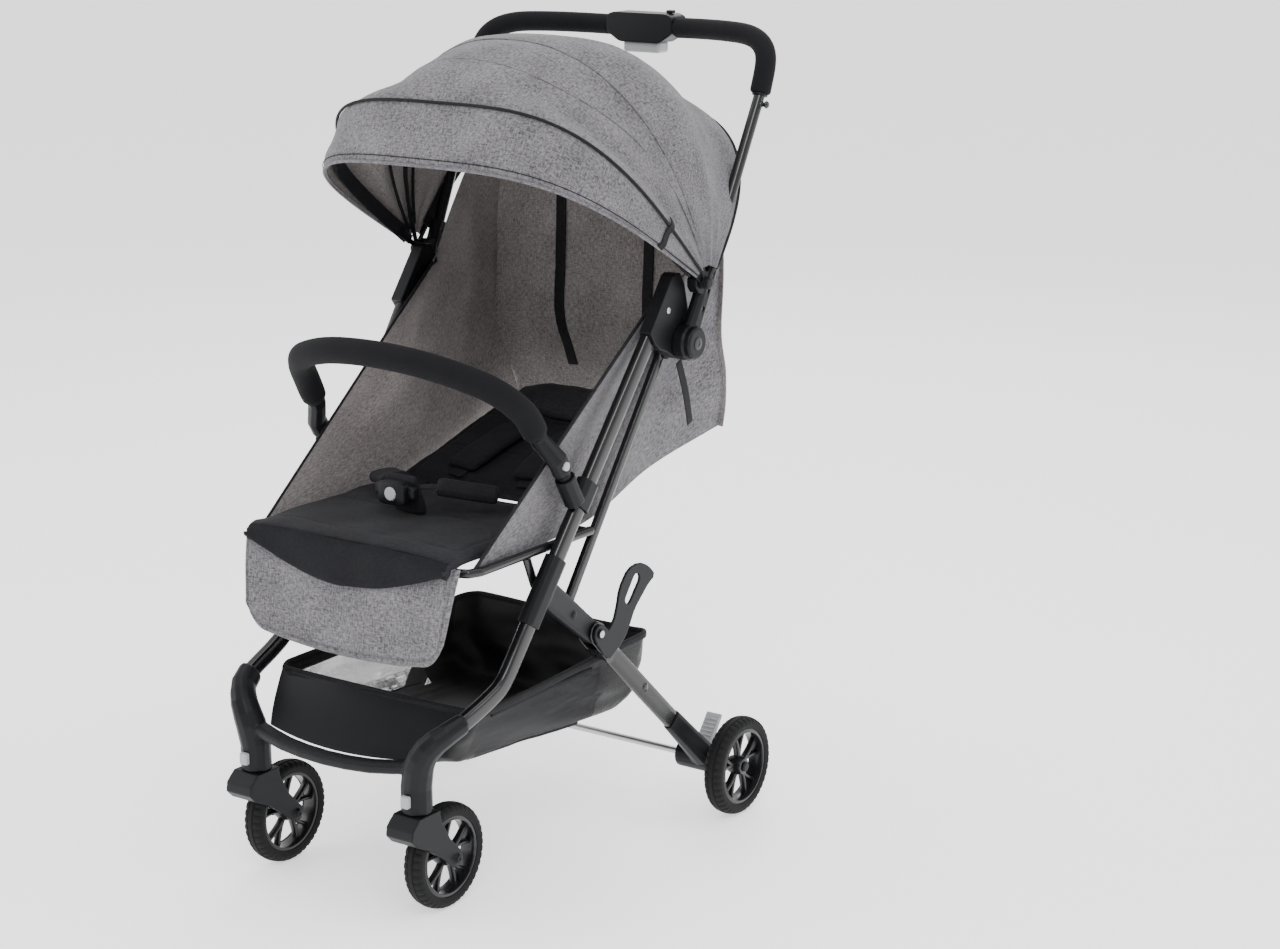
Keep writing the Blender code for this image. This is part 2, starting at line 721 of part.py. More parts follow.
def socket_mesh():
    body_x0 = socket_x0
    hub = disc(hub_point, x_axis, [(body_x0, hub_disc), (socket_x1 - 0.001, hub_disc), (socket_x1, hub_disc - 0.001)], 18)
    cap = disc(hub_point, x_axis, [(socket_x1 - 0.001, cap_radius - 0.002), (socket_x1 + 0.0006, cap_radius),
                                   (cap_x1 - 0.002, cap_radius), (cap_x1, cap_radius - 0.003)], 18)
    line = [handle_at(0.004), handle_at(0.03), handle_at(0.08), handle_at(0.124)]
    wide = [handle_hub_x - body_x0 - 0.0002, 0.0090, 0.0090, 0.0090]
    arm = sweep(line, wide, [0.0170, 0.0135, 0.0122, 0.0122], 10, x_axis, 3.0)
    at = Vector((0.0, canopy_pivot.y, canopy_pivot.z))
    toward = (handle_at(0.085).y, handle_at(0.085).z)
    ear = plate(hull_of_two((at.y, at.z), 0.0150, toward, 0.0125), 0.2190, bow_first_x - fit_gap)
    last = bow_first_x + 3 * (bow_thickness + fit_gap)
    pin = disc(at, x_axis, [(0.222, pivot_pin_radius), (last + 0.001, pivot_pin_radius)], 10)
    head = disc(at, x_axis, [(last + 0.0002, 0.0080), (last + 0.0018, 0.0080), (last + 0.003, 0.0060)], 12)
    shaft = disc(hub_point, x_axis, [(crank_x0 + 0.001, 0.0048), (body_x0 + 0.002, 0.0048)], 10)
    eye = (link_top.y, link_top.z)
    crank = plate(hull_of_two((hub_point.y, hub_point.z), 0.0095, eye, 0.0085), crank_x0, crank_x1)
    pin_at = Vector((0.0, link_top.y, link_top.z))
    link_pin = disc(pin_at, x_axis, [(0.1770, pivot_pin_radius), (crank_x0 + 0.001, pivot_pin_radius)], 10)
    form = union(hub, cap, arm, ear, pin, head, shaft, crank, link_pin)
    bore = handle_rings(0, 3, handle_radius + grip_gap)
    bore[0] = [p - handle_aim * fit_gap for p in bore[0]]
    return cut(form, solid(bore))


def link_mesh():
    low = Vector((head_x0 - fit_gap - link_half_x, rocker_eye.y, rocker_eye.z))
    rise = (link_top - low).normalized() * 0.022
    bar = sweep([low, low + Vector((0.0, rise.y, rise.z)), link_top], link_half_x, link_half_v, 10, x_axis, 3.0)
    foot = disc(low, x_axis, [(-link_half_x, 0.0095), (link_half_x, 0.0095)], 12)
    rivet = disc(low, x_axis, [(-link_half_x - 0.0018, 0.0035), (-link_half_x - 0.001, 0.005), (0.0, 0.005)], 10)
    top = disc(link_top, x_axis, [(-link_half_x, 0.0095), (link_half_x, 0.0095)], 12)
    form = union(bar, foot, top, rivet)
    hole = pivot_pin_radius + axle_gap
    return cut(form, disc(link_top, x_axis, [(-0.02, hole), (0.02, hole)], 10))


def handle_mesh():
    form = solid(handle_rings(0, len(handle_rows), handle_radius))
    at = handle_at(0.327)
    stud = disc(at, x_axis, [(0.0, 0.0032), (0.014, 0.0032)], 10)
    knob = disc(at, x_axis, [(0.0135, 0.0045), (0.0145, 0.0058), (0.0175, 0.0040)], 10)
    return union(form, stud, knob)


def foam_mesh():
    inner = handle_radius + grip_gap
    first = 4
    edge = housing_half_x + fit_gap
    last = max(i for i, row in enumerate(handle_rows) if row[0].x > edge)
    share = (handle_rows[last][0].x - edge) / (handle_rows[last][0].x - handle_rows[last + 1][0].x)
    outside = handle_rings(first, last + 1, foam_radius) + [between(last, last + 1, share, foam_radius)]
    inside = handle_rings(first, last + 1, inner) + [between(last, last + 1, share, inner)]
    for point in outside[-1] + inside[-1]:
        point.x = edge
    return solid(outside + inside[::-1], around=True)


def housing_mesh():
    outline = rounded([
        (-housing_half_x, housing_z1 - 0.004), (-housing_half_x, 1.030), (-housing_low_half_x, housing_z0),
        (housing_low_half_x, housing_z0), (housing_half_x, 1.030), (housing_half_x, housing_z1 - 0.004),
        (housing_half_x - 0.010, housing_z1), (-housing_half_x + 0.010, housing_z1),
    ], 0.004, 2)
    y0 = handle_mid.y - housing_half_y
    y1 = handle_mid.y + housing_half_y
    form = solid([[Vector((p[0], y, p[1])) for p in outline] for y in (y0, y1)])
    middle = len(handle_near) - 1
    bore = solid(handle_rings(middle - 3, middle + 4, handle_radius + grip_gap))
    side_x = lever_half_x + 0.0004
    side_y = lever_half_y + 0.0004
    top = lever_z1 + lever_travel + 0.0004
    pocket = block((-side_x, handle_mid.y - side_y, 1.0), (side_x, handle_mid.y + side_y, top))
    return cut(form, bore, pocket)


# Canopy: arches about the pivot line. Each has an angle up from +Y, a half width, a length and a squareness.

def arch(angle, half_width, length, power, least, count):
    """Points along a squared-off half ring, spread evenly, from the least distance off the pivot line."""
    lean = math.radians(angle)
    turn = 0.5 ** (1.0 / power)
    half = []
    for k in range(120):
        out = turn * k / 120
        half.append(((1.0 - out ** power) ** (1.0 / power), out))
    for k in range(120, -1, -1):
        wide = turn * k / 120
        half.append((wide, (1.0 - wide ** power) ** (1.0 / power)))
    half += [(-wide, out) for wide, out in reversed(half[:-1])]
    fine = []
    for wide, out in half:
        reach = out * length
        if reach >= least:
            y = canopy_pivot.y + reach * math.cos(lean)
            z = canopy_pivot.z + reach * math.sin(lean)
            fine.append(Vector((wide * half_width, y, z)))
    run = [0.0]
    for a, b in zip(fine, fine[1:]):
        run.append(run[-1] + (b - a).length)
    out = []
    at = 0
    for k in range(count):
        goal = run[-1] * k / (count - 1)
        while at < len(run) - 2 and run[at + 1] < goal:
            at += 1
        share = (goal - run[at]) / max(run[at + 1] - run[at], 1e-9)
        out.append(fine[at].lerp(fine[at + 1], share))
    return out


def bow_mesh(layer, angle, length, power):
    """A flat bow with an eye at each end, in its own layer on the pivot pin."""
    x = bow_first_x + layer * (bow_thickness + fit_gap) + bow_thickness / 2
    line = arch(angle, x, length, power, 0.004, 19)
    lean = math.radians(angle)
    normal = Vector((0.0, -math.sin(lean), math.cos(lean)))
    rows = frames(line, normal)
    half = bow_thickness / 2
    form = solid([oval(p, u, v, bow_half_width, half - 0.0002, 4, 12.0) for p, t, u, v in rows])
    hole = pivot_pin_radius + axle_gap
    eyes = []
    holes = []
    for sign in (1, -1):
        at = Vector((sign * x, canopy_pivot.y, canopy_pivot.z))
        eyes.append(disc(at, x_axis, [(-half, 0.0085), (half, 0.0085)], 10))
        holes.append(disc(at, x_axis, [(-0.006, hole), (0.006, hole)], 10))
    return cut(union(form, *eyes), *holes)


def shell(arches, thickness, planes=None):
    """A cloth skin through rows of points: outer face, inner face, and the four edges.
    With planes, each row is thickened inside its own plane, so that two skins can meet there."""
    rows = len(arches)
    count = len(arches[0])
    build = bmesh.new()
    outer = [[build.verts.new(p) for p in line] for line in arches]
    inner = []
    for i in range(rows):
        line = []
        for j in range(count):
            ahead = arches[min(i + 1, rows - 1)][j] - arches[max(i - 1, 0)][j]
            if planes:
                ahead = planes[i]
            beside = arches[i][min(j + 1, count - 1)] - arches[i][max(j - 1, 0)]
            line.append(build.verts.new(arches[i][j] - beside.cross(ahead).normalized() * thickness))
        inner.append(line)
    for i in range(rows - 1):
        for j in range(count - 1):
            build.faces.new((outer[i][j], outer[i][j + 1], outer[i + 1][j + 1], outer[i + 1][j]))
            build.faces.new((inner[i][j], inner[i + 1][j], inner[i + 1][j + 1], inner[i][j + 1]))
    for i in range(rows - 1):
        for j in (0, count - 1):
            build.faces.new((outer[i][j], outer[i + 1][j], inner[i + 1][j], inner[i][j]))
    for j in range(count - 1):
        for i in (0, rows - 1):
            build.faces.new((outer[i][j], outer[i][j + 1], inner[i][j + 1], inner[i][j]))
    bmesh.ops.triangulate(build, faces=build.faces)
    bmesh.ops.recalc_face_normals(build, faces=build.faces)
    mesh = bpy.data.meshes.new("shell")
    build.to_mesh(mesh)
    build.free()
    return mesh


canopy_front = 149
canopy_seam = 136
canopy_middle = 108
canopy_back = 51
over_bow = bow_thickness / 2 + fit_gap + canopy_cloth - 0.0016
bow_x = [bow_first_x + k * (bow_thickness + fit_gap) + bow_thickness / 2 for k in range(3)]
canopy_arches = {
    149: (bow_x[0] + over_bow, front_bow_length + over_bow, 3.6),
    143: (bow_x[0] + over_bow, front_bow_length + over_bow, 3.6),
    136: (0.2410, 0.340, 3.6),
    129: (0.2420, 0.356, 3.5),
    122: (0.2425, 0.360, 3.4),
    115: (0.2430, 0.348, 3.3),
    108: (bow_x[1] + over_bow + 0.0008, mid_bow_length + over_bow + 0.0008, 3.2),
    100: (0.2445, 0.317, 3.2),
    90: (0.2455, 0.308, 3.2),
    79: (0.2465, 0.305, 3.2),
    65: (0.2465, 0.305, 3.2),
    51: (bow_x[2] + over_bow, rear_bow_length + over_bow, 3.2),
}


def canopy_mesh(first, last):
    """The canopy's cloth from one arch to another, forward to back, a hair behind the cloth before it."""
    lines = []
    planes = []
    for angle in sorted(canopy_arches, reverse=True):
        if last <= angle <= first:
            half_width, length, power = canopy_arches[angle]
            lean = math.radians(angle)
            plane = Vector((0.0, math.sin(lean), -math.cos(lean)))
            line = arch(angle, half_width, length, power, 0.034, 17)
            if angle == first and first != canopy_front:
                line = [p + plane * fit_gap for p in line]
            lines.append(line)
            planes.append(plane)
    return shell(lines, canopy_cloth, planes)


# Seat

def seat_frame_mesh():
    corner = 0.022
    line = [
        Vector((rail_x, 0.256, rail_z)),
        Vector((rail_x, 0.120, rail_z)),
        Vector((rail_x, seat_front_y + corner, rail_z)),
        Vector((rail_x - corner * 0.3, seat_front_y + corner * 0.3, rail_z)),
        Vector((rail_x - corner, seat_front_y, rail_z)),
    ]
    far = [Vector((-p.x, p.y, p.z)) for p in reversed(line)]
    rails = sweep(line + far, rail_half_x, rail_half_x, 10)
    x = rail_x - 0.001
    bar = disc(Vector((-x, hinge_y, rail_z)), x_axis, [(0.0, hinge_rod_radius), (2 * x, hinge_rod_radius)], 10)
    parts = [rails, bar]
    for sign in (1, -1):
        top = Vector((sign * 0.1716, 0.1209, rail_z))
        foot = Vector((sign * 0.1716, 0.1400, 0.3890))
        parts.append(sweep([top, foot], 0.0045, 0.0070, 8))
    return union(*parts)


def seat_pad_mesh():
    """The pad, crowned, with a front lip that hangs over the front tube."""
    rows = []
    x_steps = 9
    for x_share in [k / (x_steps - 1) * 2 - 1 for k in range(x_steps)]:
        x = seat_half_width * x_share
        edge = 1.0 - abs(x_share) ** 6
        front = seat_front_y - 0.001
        drop = 0.046 * (1 - x_share ** 2)
        top = seat_pad_z1 - 0.006 + 0.006 * edge
        low = seat_pad_z0 + 0.001 * (1 - edge)
        ring = [
            (front - 0.0235, top - 0.016 - drop * 0.95), (front - 0.0185, top - 0.012), (front - 0.008, top - 0.002),
            (front + 0.030, top), (front + 0.110, top + 0.003 * edge), (0.215, top), (0.2365, top - 0.003),
            (0.2385, low + 0.003), (0.2335, low), (front + 0.110, low), (front + 0.004, low),
            (front - 0.0065, low), (front - 0.014, low - 0.006), (front - 0.0200, top - 0.016 - drop * 0.95),
        ]
        rows.append([Vector((x, y, z)) for y, z in ring])
    return solid(rows)


def calf_mesh():
    """The calf rest: a padded panel hung from the seat's front tube, with rounded lower corners."""
    rows = []
    steps = 11
    for share in [k / (steps - 1) * 2 - 1 for k in range(steps)]:
        wide = abs(share)
        top_half = calf_half_width
        x_top = top_half * share
        x_low = (top_half - 0.012) * share
        corner = max(0.0, wide - 0.82) / 0.18
        low_z = 0.3085 + 0.017 * wide ** 2 + 0.030 * corner ** 2
        low_y = -0.0240 - 0.004 * wide
        top_z = rail_z - rail_half_x - fit_gap
        top_y = seat_front_y - 0.007
        belly = 0.003 * (1 - wide ** 2)
        mid = Vector((x_top * 0.5 + x_low * 0.5, (top_y + low_y) / 2 - belly, (top_z + low_z) / 2))
        thin = calf_thickness * (1.0 - 0.35 * corner)
        front = [(x_top, top_y - 0.005, top_z), (mid.x, mid.y - thin * 0.5, mid.z), (x_low, low_y - thin * 0.4, low_z + 0.006)]
        back = [(x_low, low_y + thin * 0.4, low_z + 0.006), (mid.x, mid.y + thin * 0.5, mid.z), (x_top, top_y + thin * 0.5, top_z)]
        tip = [(x_low, low_y, low_z)]
        rows.append([Vector(p) for p in front + tip + back])
    return solid(rows)


def backrest_mesh():
    start = Vector((0.0, hinge_y + 0.0140, hinge_z + 0.0125))
    aim = (back_end - start).normalized()
    up = Vector((0.0, -aim.z, aim.y))
    rows = []
    length = (back_end - start).length
    for share in (0.0, 0.04, 0.12, 0.30, 0.55, 0.80, 0.94, 1.0):
        edge = 1.0 - 0.45 * (max(0.0, share - 0.9) / 0.1) ** 2 - 0.4 * (max(0.0, 0.05 - share) / 0.05) ** 2
        centre = start + aim * length * share + up * back_thickness * 0.15
        half = back_half_width * (1.0 - 0.05 * (max(0.0, share - 0.8) / 0.2) ** 2)
        rows.append(oval(centre, x_axis, up, half, back_thickness / 2 * edge, 20, 5.0))
    board = solid(rows)
    knuckles = []
    for sign in (1, -1):
        form = plate(hull_of_two((hinge_y, rail_z), 0.0095, (start.y + 0.016, start.z + 0.004), 0.0055), 0.108, 0.124)
        knuckles.append(form if sign == 1 else mirrored(form))
    at = Vector((0.0, hinge_y, rail_z))
    hole = (hinge_rod_radius + rod_gap) * 1.04
    return cut(union(board, *knuckles), disc(at, x_axis, [(-0.14, hole), (0.14, hole)], 12))


def head_pad_mesh():
    start = Vector((0.0, hinge_y + 0.0140, hinge_z + 0.0125))
    aim = (back_end - start).normalized()
    up = Vector((0.0, -aim.z, aim.y))
    centre = start + aim * 0.225 + up * (back_thickness * 0.65 + 0.0135)
    rows = []
    for share in (-1.0, -0.9, -0.6, -0.2, 0.2, 0.6, 0.9, 1.0):
        size = (1.0 - abs(share) ** 3 * 0.45)
        at = centre + x_axis * 0.105 * share
        rows.append(oval(at, aim, up, 0.040 * size, 0.013 * size ** 0.5, 12, 2.6))
    return solid(rows)


# Bumper bar

def bumper_mesh():
    line = [
        Vector((0.1800, 0.1370, 0.5820)), Vector((0.1760, 0.1180, 0.6120)), Vector((0.1600, 0.0900, 0.6400)),
        Vector((0.1300, 0.0640, 0.6600)), Vector((0.0700, 0.0440, 0.6760)), Vector((0.0, 0.0380, 0.6810)),
    ]
    near = [line[0], line[0].lerp(line[1], 0.2)] + smooth(line, 0.030)[1:]
    far = [Vector((-p.x, p.y, p.z)) for p in reversed(near[:-1])]
    count = len(near) * 2 - 1
    radius = [bumper_radius] * count
    for k, share in ((0, 0.84), (1, 1.0)):
        radius[k] = bumper_radius * share
        radius[-1 - k] = bumper_radius * share
    return sweep(near + far, radius, radius, 12)


def bumper_post_mesh():
    foam_end = Vector((0.1800, 0.1370, 0.5820))
    aim = (foam_end - Vector((0.1760, 0.1180, 0.6120))).normalized()
    start = foam_end + aim * fit_gap
    low = post_foot + post_slide * 0.006
    mid = post_foot + post_slide * 0.048
    high = post_foot + post_slide * 0.066
    line = [low, mid - post_slide * 0.004, mid, high, start + aim * 0.006, start]
    wide = [post_radius, post_radius, 0.0115, 0.0115, 0.0120, 0.0120]
    tall = [post_radius, post_radius, 0.0140, 0.0145, 0.0125, 0.0125]
    form = sweep(line, wide, tall, 10)
    at = post_foot + post_slide * 0.0585
    return cut(form, disc(at, x_axis, [(0.0045, 0.0064), (0.02, 0.0064)], 12))


def bumper_button_mesh():
    at = post_foot + post_slide * 0.0585
    return disc(at, x_axis, [(0.0075, 0.0060), (0.0118, 0.0060), (0.0128, 0.0048)], 12)


def bumper_socket_mesh():
    low = post_foot - post_slide * 0.004
    high = post_foot + post_slide * 0.038
    form = sweep([low, high], socket_outer, socket_outer, 10)
    near = tube_point(0.478)
    far = tube_point(0.508)
    saddle = sweep([near, far], collar_half_x, collar_half_v + 0.001, 10, x_axis, 3.0)
    bore = [post_foot + post_slide * (0.006 - fit_gap), high + post_slide * 0.02]
    hole = sweep(bore, post_radius + rod_gap, post_radius + rod_gap, 10)
    form = union(form, saddle)
    return cut(form, hole, grown_tube(0.440, 0.550))


# Basket and front panel

def basket_mesh():
    def ring(y0, y1, z_front, z_rear, half, inset):
        points = []
        corner = 0.030
        steps = [(1, 1), (-1, 1), (-1, -1), (1, -1)]
        mid_y = (y0 + y1) / 2
        half_y = (y1 - y0) / 2 - inset
        half_x = half - inset
        for sx, sy in steps:
            order = (0, 1, 2, 3) if sx * sy > 0 else (3, 2, 1, 0)
            for k in order:
                turn = math.radians(30.0 * k)
                x = sx * (half_x - corner + corner * math.cos(turn))
                y = sy * (half_y - corner + corner * math.sin(turn))
                share = (y + half_y) / (2 * half_y)
                points.append(Vector((x, mid_y + y, z_front + (z_rear - z_front) * share)))
            if sx * sy > 0 and sy > 0:
                points.append(Vector((0.0, mid_y + half_y, z_rear)))
            if sx * sy > 0 and sy < 0:
                points.append(Vector((0.0, mid_y - half_y, z_front)))
        return points

    wall = basket_wall
    outer = [
        (0.010, 0.385, 0.182, 0.146, 0.120), (0.002, 0.398, 0.188, 0.156, 0.140),
        (0.004, 0.405, 0.215, 0.190, 0.155), (0.020, 0.420, 0.252, 0.256, basket_half_width),
    ]
    rows = [ring(*size, 0.0) for size in outer]
    rows += [ring(*size, wall) for size in reversed(outer)]
    for point in rows[-1]:
        point.z += wall
    return solid(rows)


def front_panel_mesh():
    """The panel that slopes from the basket's front rim down to the crossbar."""
    rows = []
    for share in [k / 8 * 2 - 1 for k in range(9)]:
        top = Vector((0.150 * share, 0.0222 + 0.003 * share ** 4, 0.2505))
        mid = Vector((0.134 * share, -0.0130 + 0.003 * share ** 2, 0.2190))
        x = 0.113 * share
        low = Vector((x, -0.0533 + 0.016 * (x / 0.128) ** 2, 0.1945 + 0.006 * share ** 2))
        rows.append([top, mid, low])
    return shell(rows, -basket_wall)


def basket_and_panel_mesh():
    return union(basket_mesh(), front_panel_mesh())


# Side panels and rear curtain

def side_panel_mesh():
    """The cloth between the seat's edge and the canopy's pivot, back to the curtain."""
    rows = []
    for share in (0.0, 0.25, 0.5, 0.75, 1.0):
        drawn_in = 0.0100 * min(1.0, share / 0.35)
        bottom = Vector((0.1725 - drawn_in, 0.030 + 0.490 * share, 0.4412 + 0.100 * share ** 1.5))
        top = Vector((0.1890, 0.395 + 0.115 * share, 0.726 + 0.090 * share))
        line = []
        for k in range(6):
            t = k / 5
            point = bottom.lerp(top, t)
            point.x = bottom.x + (top.x - bottom.x) * t ** 1.4 - 0.004 * math.sin(math.pi * t) * share
            line.append(point)
        rows.append(line)
    return shell(rows, 0.0025)


def curtain_mesh():
    """The cloth at the back: it hangs from the rear bow to the end of the backrest."""
    levels = [(0.860, 0.554), (0.790, 0.537), (0.706, 0.5310), (0.640, 0.5270), (0.590, 0.5420), (0.548, 0.5600)]
    steps = [k / 10 * 2 - 1 for k in range(11)]
    lean = math.radians(rear_bow_angle)
    top = []
    for share in steps:
        x = 0.186 * share
        reach = rear_bow_length * (1 - abs(x / bow_x[2]) ** 3.2) ** (1 / 3.2) - 0.0034
        top.append(Vector((x, canopy_pivot.y + reach * math.cos(lean), canopy_pivot.z + reach * math.sin(lean))))
    rows = [top]
    for z, y in levels:
        half = 0.186 + 0.004 * math.sin(z * 30)
        rows.append([Vector((half * share, y + 0.010 * (1 - share ** 4), z)) for share in steps])
    return shell(rows, 0.0025)


# Harness: crotch pad and lap pads in one webbing, with a buckle and its button

def harness_mesh():
    base = seat_pad_z1 + 0.0035
    crotch = sweep([Vector((0.0, 0.110, base + 0.006)), Vector((0.0, 0.098, base + 0.030)), Vector((0.0, 0.088, base + 0.052))],
                   [0.020, 0.022, 0.018], [0.0055, 0.0075, 0.0060], 10, x_axis, 3.0)
    strips = []
    for sign in (1, -1):
        line = [Vector((0.0, 0.104, base + 0.034)), Vector((sign * 0.045, 0.128, base + 0.036)),
                Vector((sign * 0.095, 0.168, base + 0.024)), Vector((sign * 0.122, 0.208, base + 0.010))]
        strips.append(sweep(smooth(line, 0.03), 0.0060, 0.0150, 8, y_axis, 3.0))
    buckle = block((-0.021, 0.0690, base + 0.019), (0.021, 0.0880, base + 0.047), 0.003)
    at = Vector((0.0, 0.0690, base + 0.033))
    form = union(crotch, buckle, *strips)
    return cut(form, disc(at, y_axis, [(-0.002, 0.0094), (0.006, 0.0094)], 12))


def buckle_button_mesh():
    at = Vector((0.0, 0.0690, seat_pad_z1 + 0.0035 + 0.033))
    return disc(at, y_axis, [(-0.0012, 0.0080), (0.0, 0.0090), (0.0030, 0.0090)], 12)


# Bodies on their axes

for side, sign in (("l", 1.0), ("r", -1.0)):
    body("caster_" + side, "front_frame", (sign * caster_x, -caster_trail, swivel_plane_z))
    body("front_wheel_" + side, "caster_" + side, (sign * caster_x, front_wheel_y, wheel_radius))
    body("lock_" + side, "front_frame", (sign * caster_x, -caster_trail - housing_radius, lock_z))
body("legs", "front_frame", (0.0, leg_pivot.y, leg_pivot.z))
for side, sign in (("l", 1.0), ("r", -1.0)):
    body("rear_wheel_" + side, "legs", (sign * rear_wheel_x, rear_axle_y, wheel_radius))
body("brake", "legs", (0.0, rear_axle_y, wheel_radius))
body("hook", "front_frame", (0.0, leg_pivot.y, leg_pivot.z))
body("handle", "front_frame", hub_point)
body("links", "handle", (0.0, link_top.y, link_top.z))
body("lever", "handle", (0.0, handle_mid.y, lever_z1))
body("slider", "handle", (0.043, handle_mid.y, housing_z1))
body("front_bow", "handle", (0.0, canopy_pivot.y, canopy_pivot.z))
body("mid_bow", "handle", (0.0, canopy_pivot.y, canopy_pivot.z))
body("bumper", "front_frame", (0.0, post_foot.y, post_foot.z))
for side, sign in (("l", 1.0), ("r", -1.0)):
    at = post_foot + post_slide * 0.0585
    body("button_" + side, "bumper", (sign * at.x, at.y, at.z))
body("back", "front_frame", (0.0, hinge_y, rail_z))
body("release", "front_frame", (0.0, 0.0690, seat_pad_z1 + 0.0365))

# Front frame
pair("front_tube", front_tube_mesh(), "front_frame", "black_tube", False)
pair("y_connector", connector_mesh(), "front_frame", "black_plastic", False)
pair("top_bracket", bracket_mesh(), "front_frame", "black_plastic", False)
piece("front_casting", casting_mesh(), "front_frame", "black_plastic")
piece("seat_frame", seat_frame_mesh(), "front_frame", "black_tube")
piece("seat_pad", seat_pad_mesh(), "front_frame", "black_cloth")
pair("side_panel", side_panel_mesh(), "front_frame", "grey_cloth", False)
piece("basket", basket_and_panel_mesh(), "front_frame", "black_cloth")
pair("bumper_socket", bumper_socket_mesh(), "front_frame", "black_plastic", False)
piece("harness", harness_mesh(), "front_frame", "black_cloth")
piece("buckle_button", buckle_button_mesh(), "release", "grey_plastic")
piece("calf_rest", calf_mesh(), "front_frame", "grey_cloth")
piece("backrest", backrest_mesh(), "back", "inner_cloth")
piece("head_pad", head_pad_mesh(), "back", "charcoal_foam")
piece("rear_curtain", curtain_mesh(), "front_frame", "grey_cloth")

# Casters, wheels and rear legs
pair("caster_fork", fork_mesh(), "caster", "black_plastic")
pair("lock_slider", lock_mesh(), "lock", "grey_plastic")
pair("front_tyre", tyre_mesh(caster_x, front_wheel_y), "front_wheel", "black_rubber")
pair("front_rim", rim_mesh(caster_x, front_wheel_y), "front_wheel", "black_plastic")
pair("rear_leg", rear_leg_mesh(), "legs", "black_tube", False)
piece("rear_bracket_l", rear_bracket_mesh(True), "legs", "black_plastic")
piece("rear_bracket_r", mirrored(rear_bracket_mesh(False)), "legs", "black_plastic")
pair("rear_tyre", tyre_mesh(rear_wheel_x, rear_axle_y), "rear_wheel", "black_rubber")
pair("rear_rim", rim_mesh(rear_wheel_x, rear_axle_y), "rear_wheel", "black_plastic")
axle_line = Vector((0.0, rear_axle_y, wheel_radius))
rod_form = disc(axle_line, x_axis, [(-brake_rod_far_x, brake_rod_radius), (brake_rod_near_x, brake_rod_radius)], 12)
piece("brake_rod", rod_form, "brake", "black_tube")
piece("brake_pedal", pedal_mesh(), "brake", "grey_plastic")
piece("latch_hook", hook_mesh(), "hook", "black_plastic")

# Handle and links
piece("handle_tube", handle_mesh(), "handle", "black_tube")
pair("handle_socket", socket_mesh(), "handle", "black_plastic", False)
pair("foam_grip", foam_mesh(), "handle", "charcoal_foam", False)
piece("handle_housing", housing_mesh(), "handle", "black_plastic")
pair("link_tube", link_mesh(), "links", "black_tube", False)
lever_low = (-lever_half_x, handle_mid.y - lever_half_y, lever_z0)
lever_high = (lever_half_x, handle_mid.y + lever_half_y, lever_z1)
piece("squeeze_lever", block(lever_low, lever_high, 0.003), "lever", "grey_plastic")
slider_low = (0.036, handle_mid.y - 0.005, housing_z1 + fit_gap)
slider_high = (0.046, handle_mid.y + 0.005, housing_z1 + 0.0045)
piece("safety_slider", block(slider_low, slider_high, 0.001), "slider", "black_plastic")

# Bumper bar
piece("bumper_bar", bumper_mesh(), "bumper", "charcoal_foam")
pair("bumper_post", bumper_post_mesh(), "bumper", "black_plastic", False)
pair("bumper_button", bumper_button_mesh(), "button", "black_plastic")

# Canopy
handle_hole = sweep([handle_at(0.06), handle_at(0.40)], 0.0110, 0.0110, 12)
handle_holes = [handle_hole, mirrored(handle_hole)]
piece("front_bow", bow_mesh(0, front_bow_angle, front_bow_length, 3.6), "front_bow", "black_tube")
piece("mid_bow", bow_mesh(1, mid_bow_angle, mid_bow_length, 3.2), "mid_bow", "black_tube")
piece("rear_bow", bow_mesh(2, rear_bow_angle, rear_bow_length, 3.2), "handle", "black_tube")
piece("canopy_visor", canopy_mesh(canopy_front, canopy_seam), "front_bow", "grey_cloth")
piece("canopy_top", canopy_mesh(canopy_seam, canopy_middle), "handle", "grey_cloth")
piece("canopy_rear", cut(canopy_mesh(canopy_middle, canopy_back), *handle_holes), "handle", "grey_cloth")

# The model stands centred on its own box
front_reach = min(fork_nose_y, -caster_trail - housing_radius - lock_depth)
rear_reach = handle_mid.y + housing_half_y
stroller.location = (0.0, -(front_reach + rear_reach) / 2, 0.0)
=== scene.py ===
import json
import math
import time

import bmesh
import bpy
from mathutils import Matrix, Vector, noise
from mathutils.kdtree import KDTree


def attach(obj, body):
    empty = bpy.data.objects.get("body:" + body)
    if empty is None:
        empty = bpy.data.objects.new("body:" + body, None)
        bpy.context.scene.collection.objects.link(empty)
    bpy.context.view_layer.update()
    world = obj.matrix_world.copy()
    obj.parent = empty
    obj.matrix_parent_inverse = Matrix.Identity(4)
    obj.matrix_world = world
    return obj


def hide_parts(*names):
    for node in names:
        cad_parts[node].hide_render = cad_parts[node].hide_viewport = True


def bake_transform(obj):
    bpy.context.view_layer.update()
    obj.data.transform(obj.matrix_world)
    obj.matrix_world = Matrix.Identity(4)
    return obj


# Folding stroller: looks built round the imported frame. Metres, +X the stroller's left, -Y forward.
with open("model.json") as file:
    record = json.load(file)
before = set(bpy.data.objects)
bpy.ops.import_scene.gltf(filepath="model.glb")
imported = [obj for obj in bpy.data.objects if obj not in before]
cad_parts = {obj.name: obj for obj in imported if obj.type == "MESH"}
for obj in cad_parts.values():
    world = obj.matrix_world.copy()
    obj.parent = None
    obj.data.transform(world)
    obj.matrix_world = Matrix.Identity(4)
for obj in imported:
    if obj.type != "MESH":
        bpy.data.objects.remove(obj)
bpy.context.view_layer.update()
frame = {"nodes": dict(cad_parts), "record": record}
nodeBody = {n: b for b, ns in frame["record"]["behaviour"]["bodies"].items() for n in ns}
slotOf = {s["node"]: s["material_slot"] for s in frame["record"]["subparts"]}
originY = -0.28335  # the front axle's place in the frame
started = time.time()


def at(x, y, z):
    return Vector((x, y + originY, z))


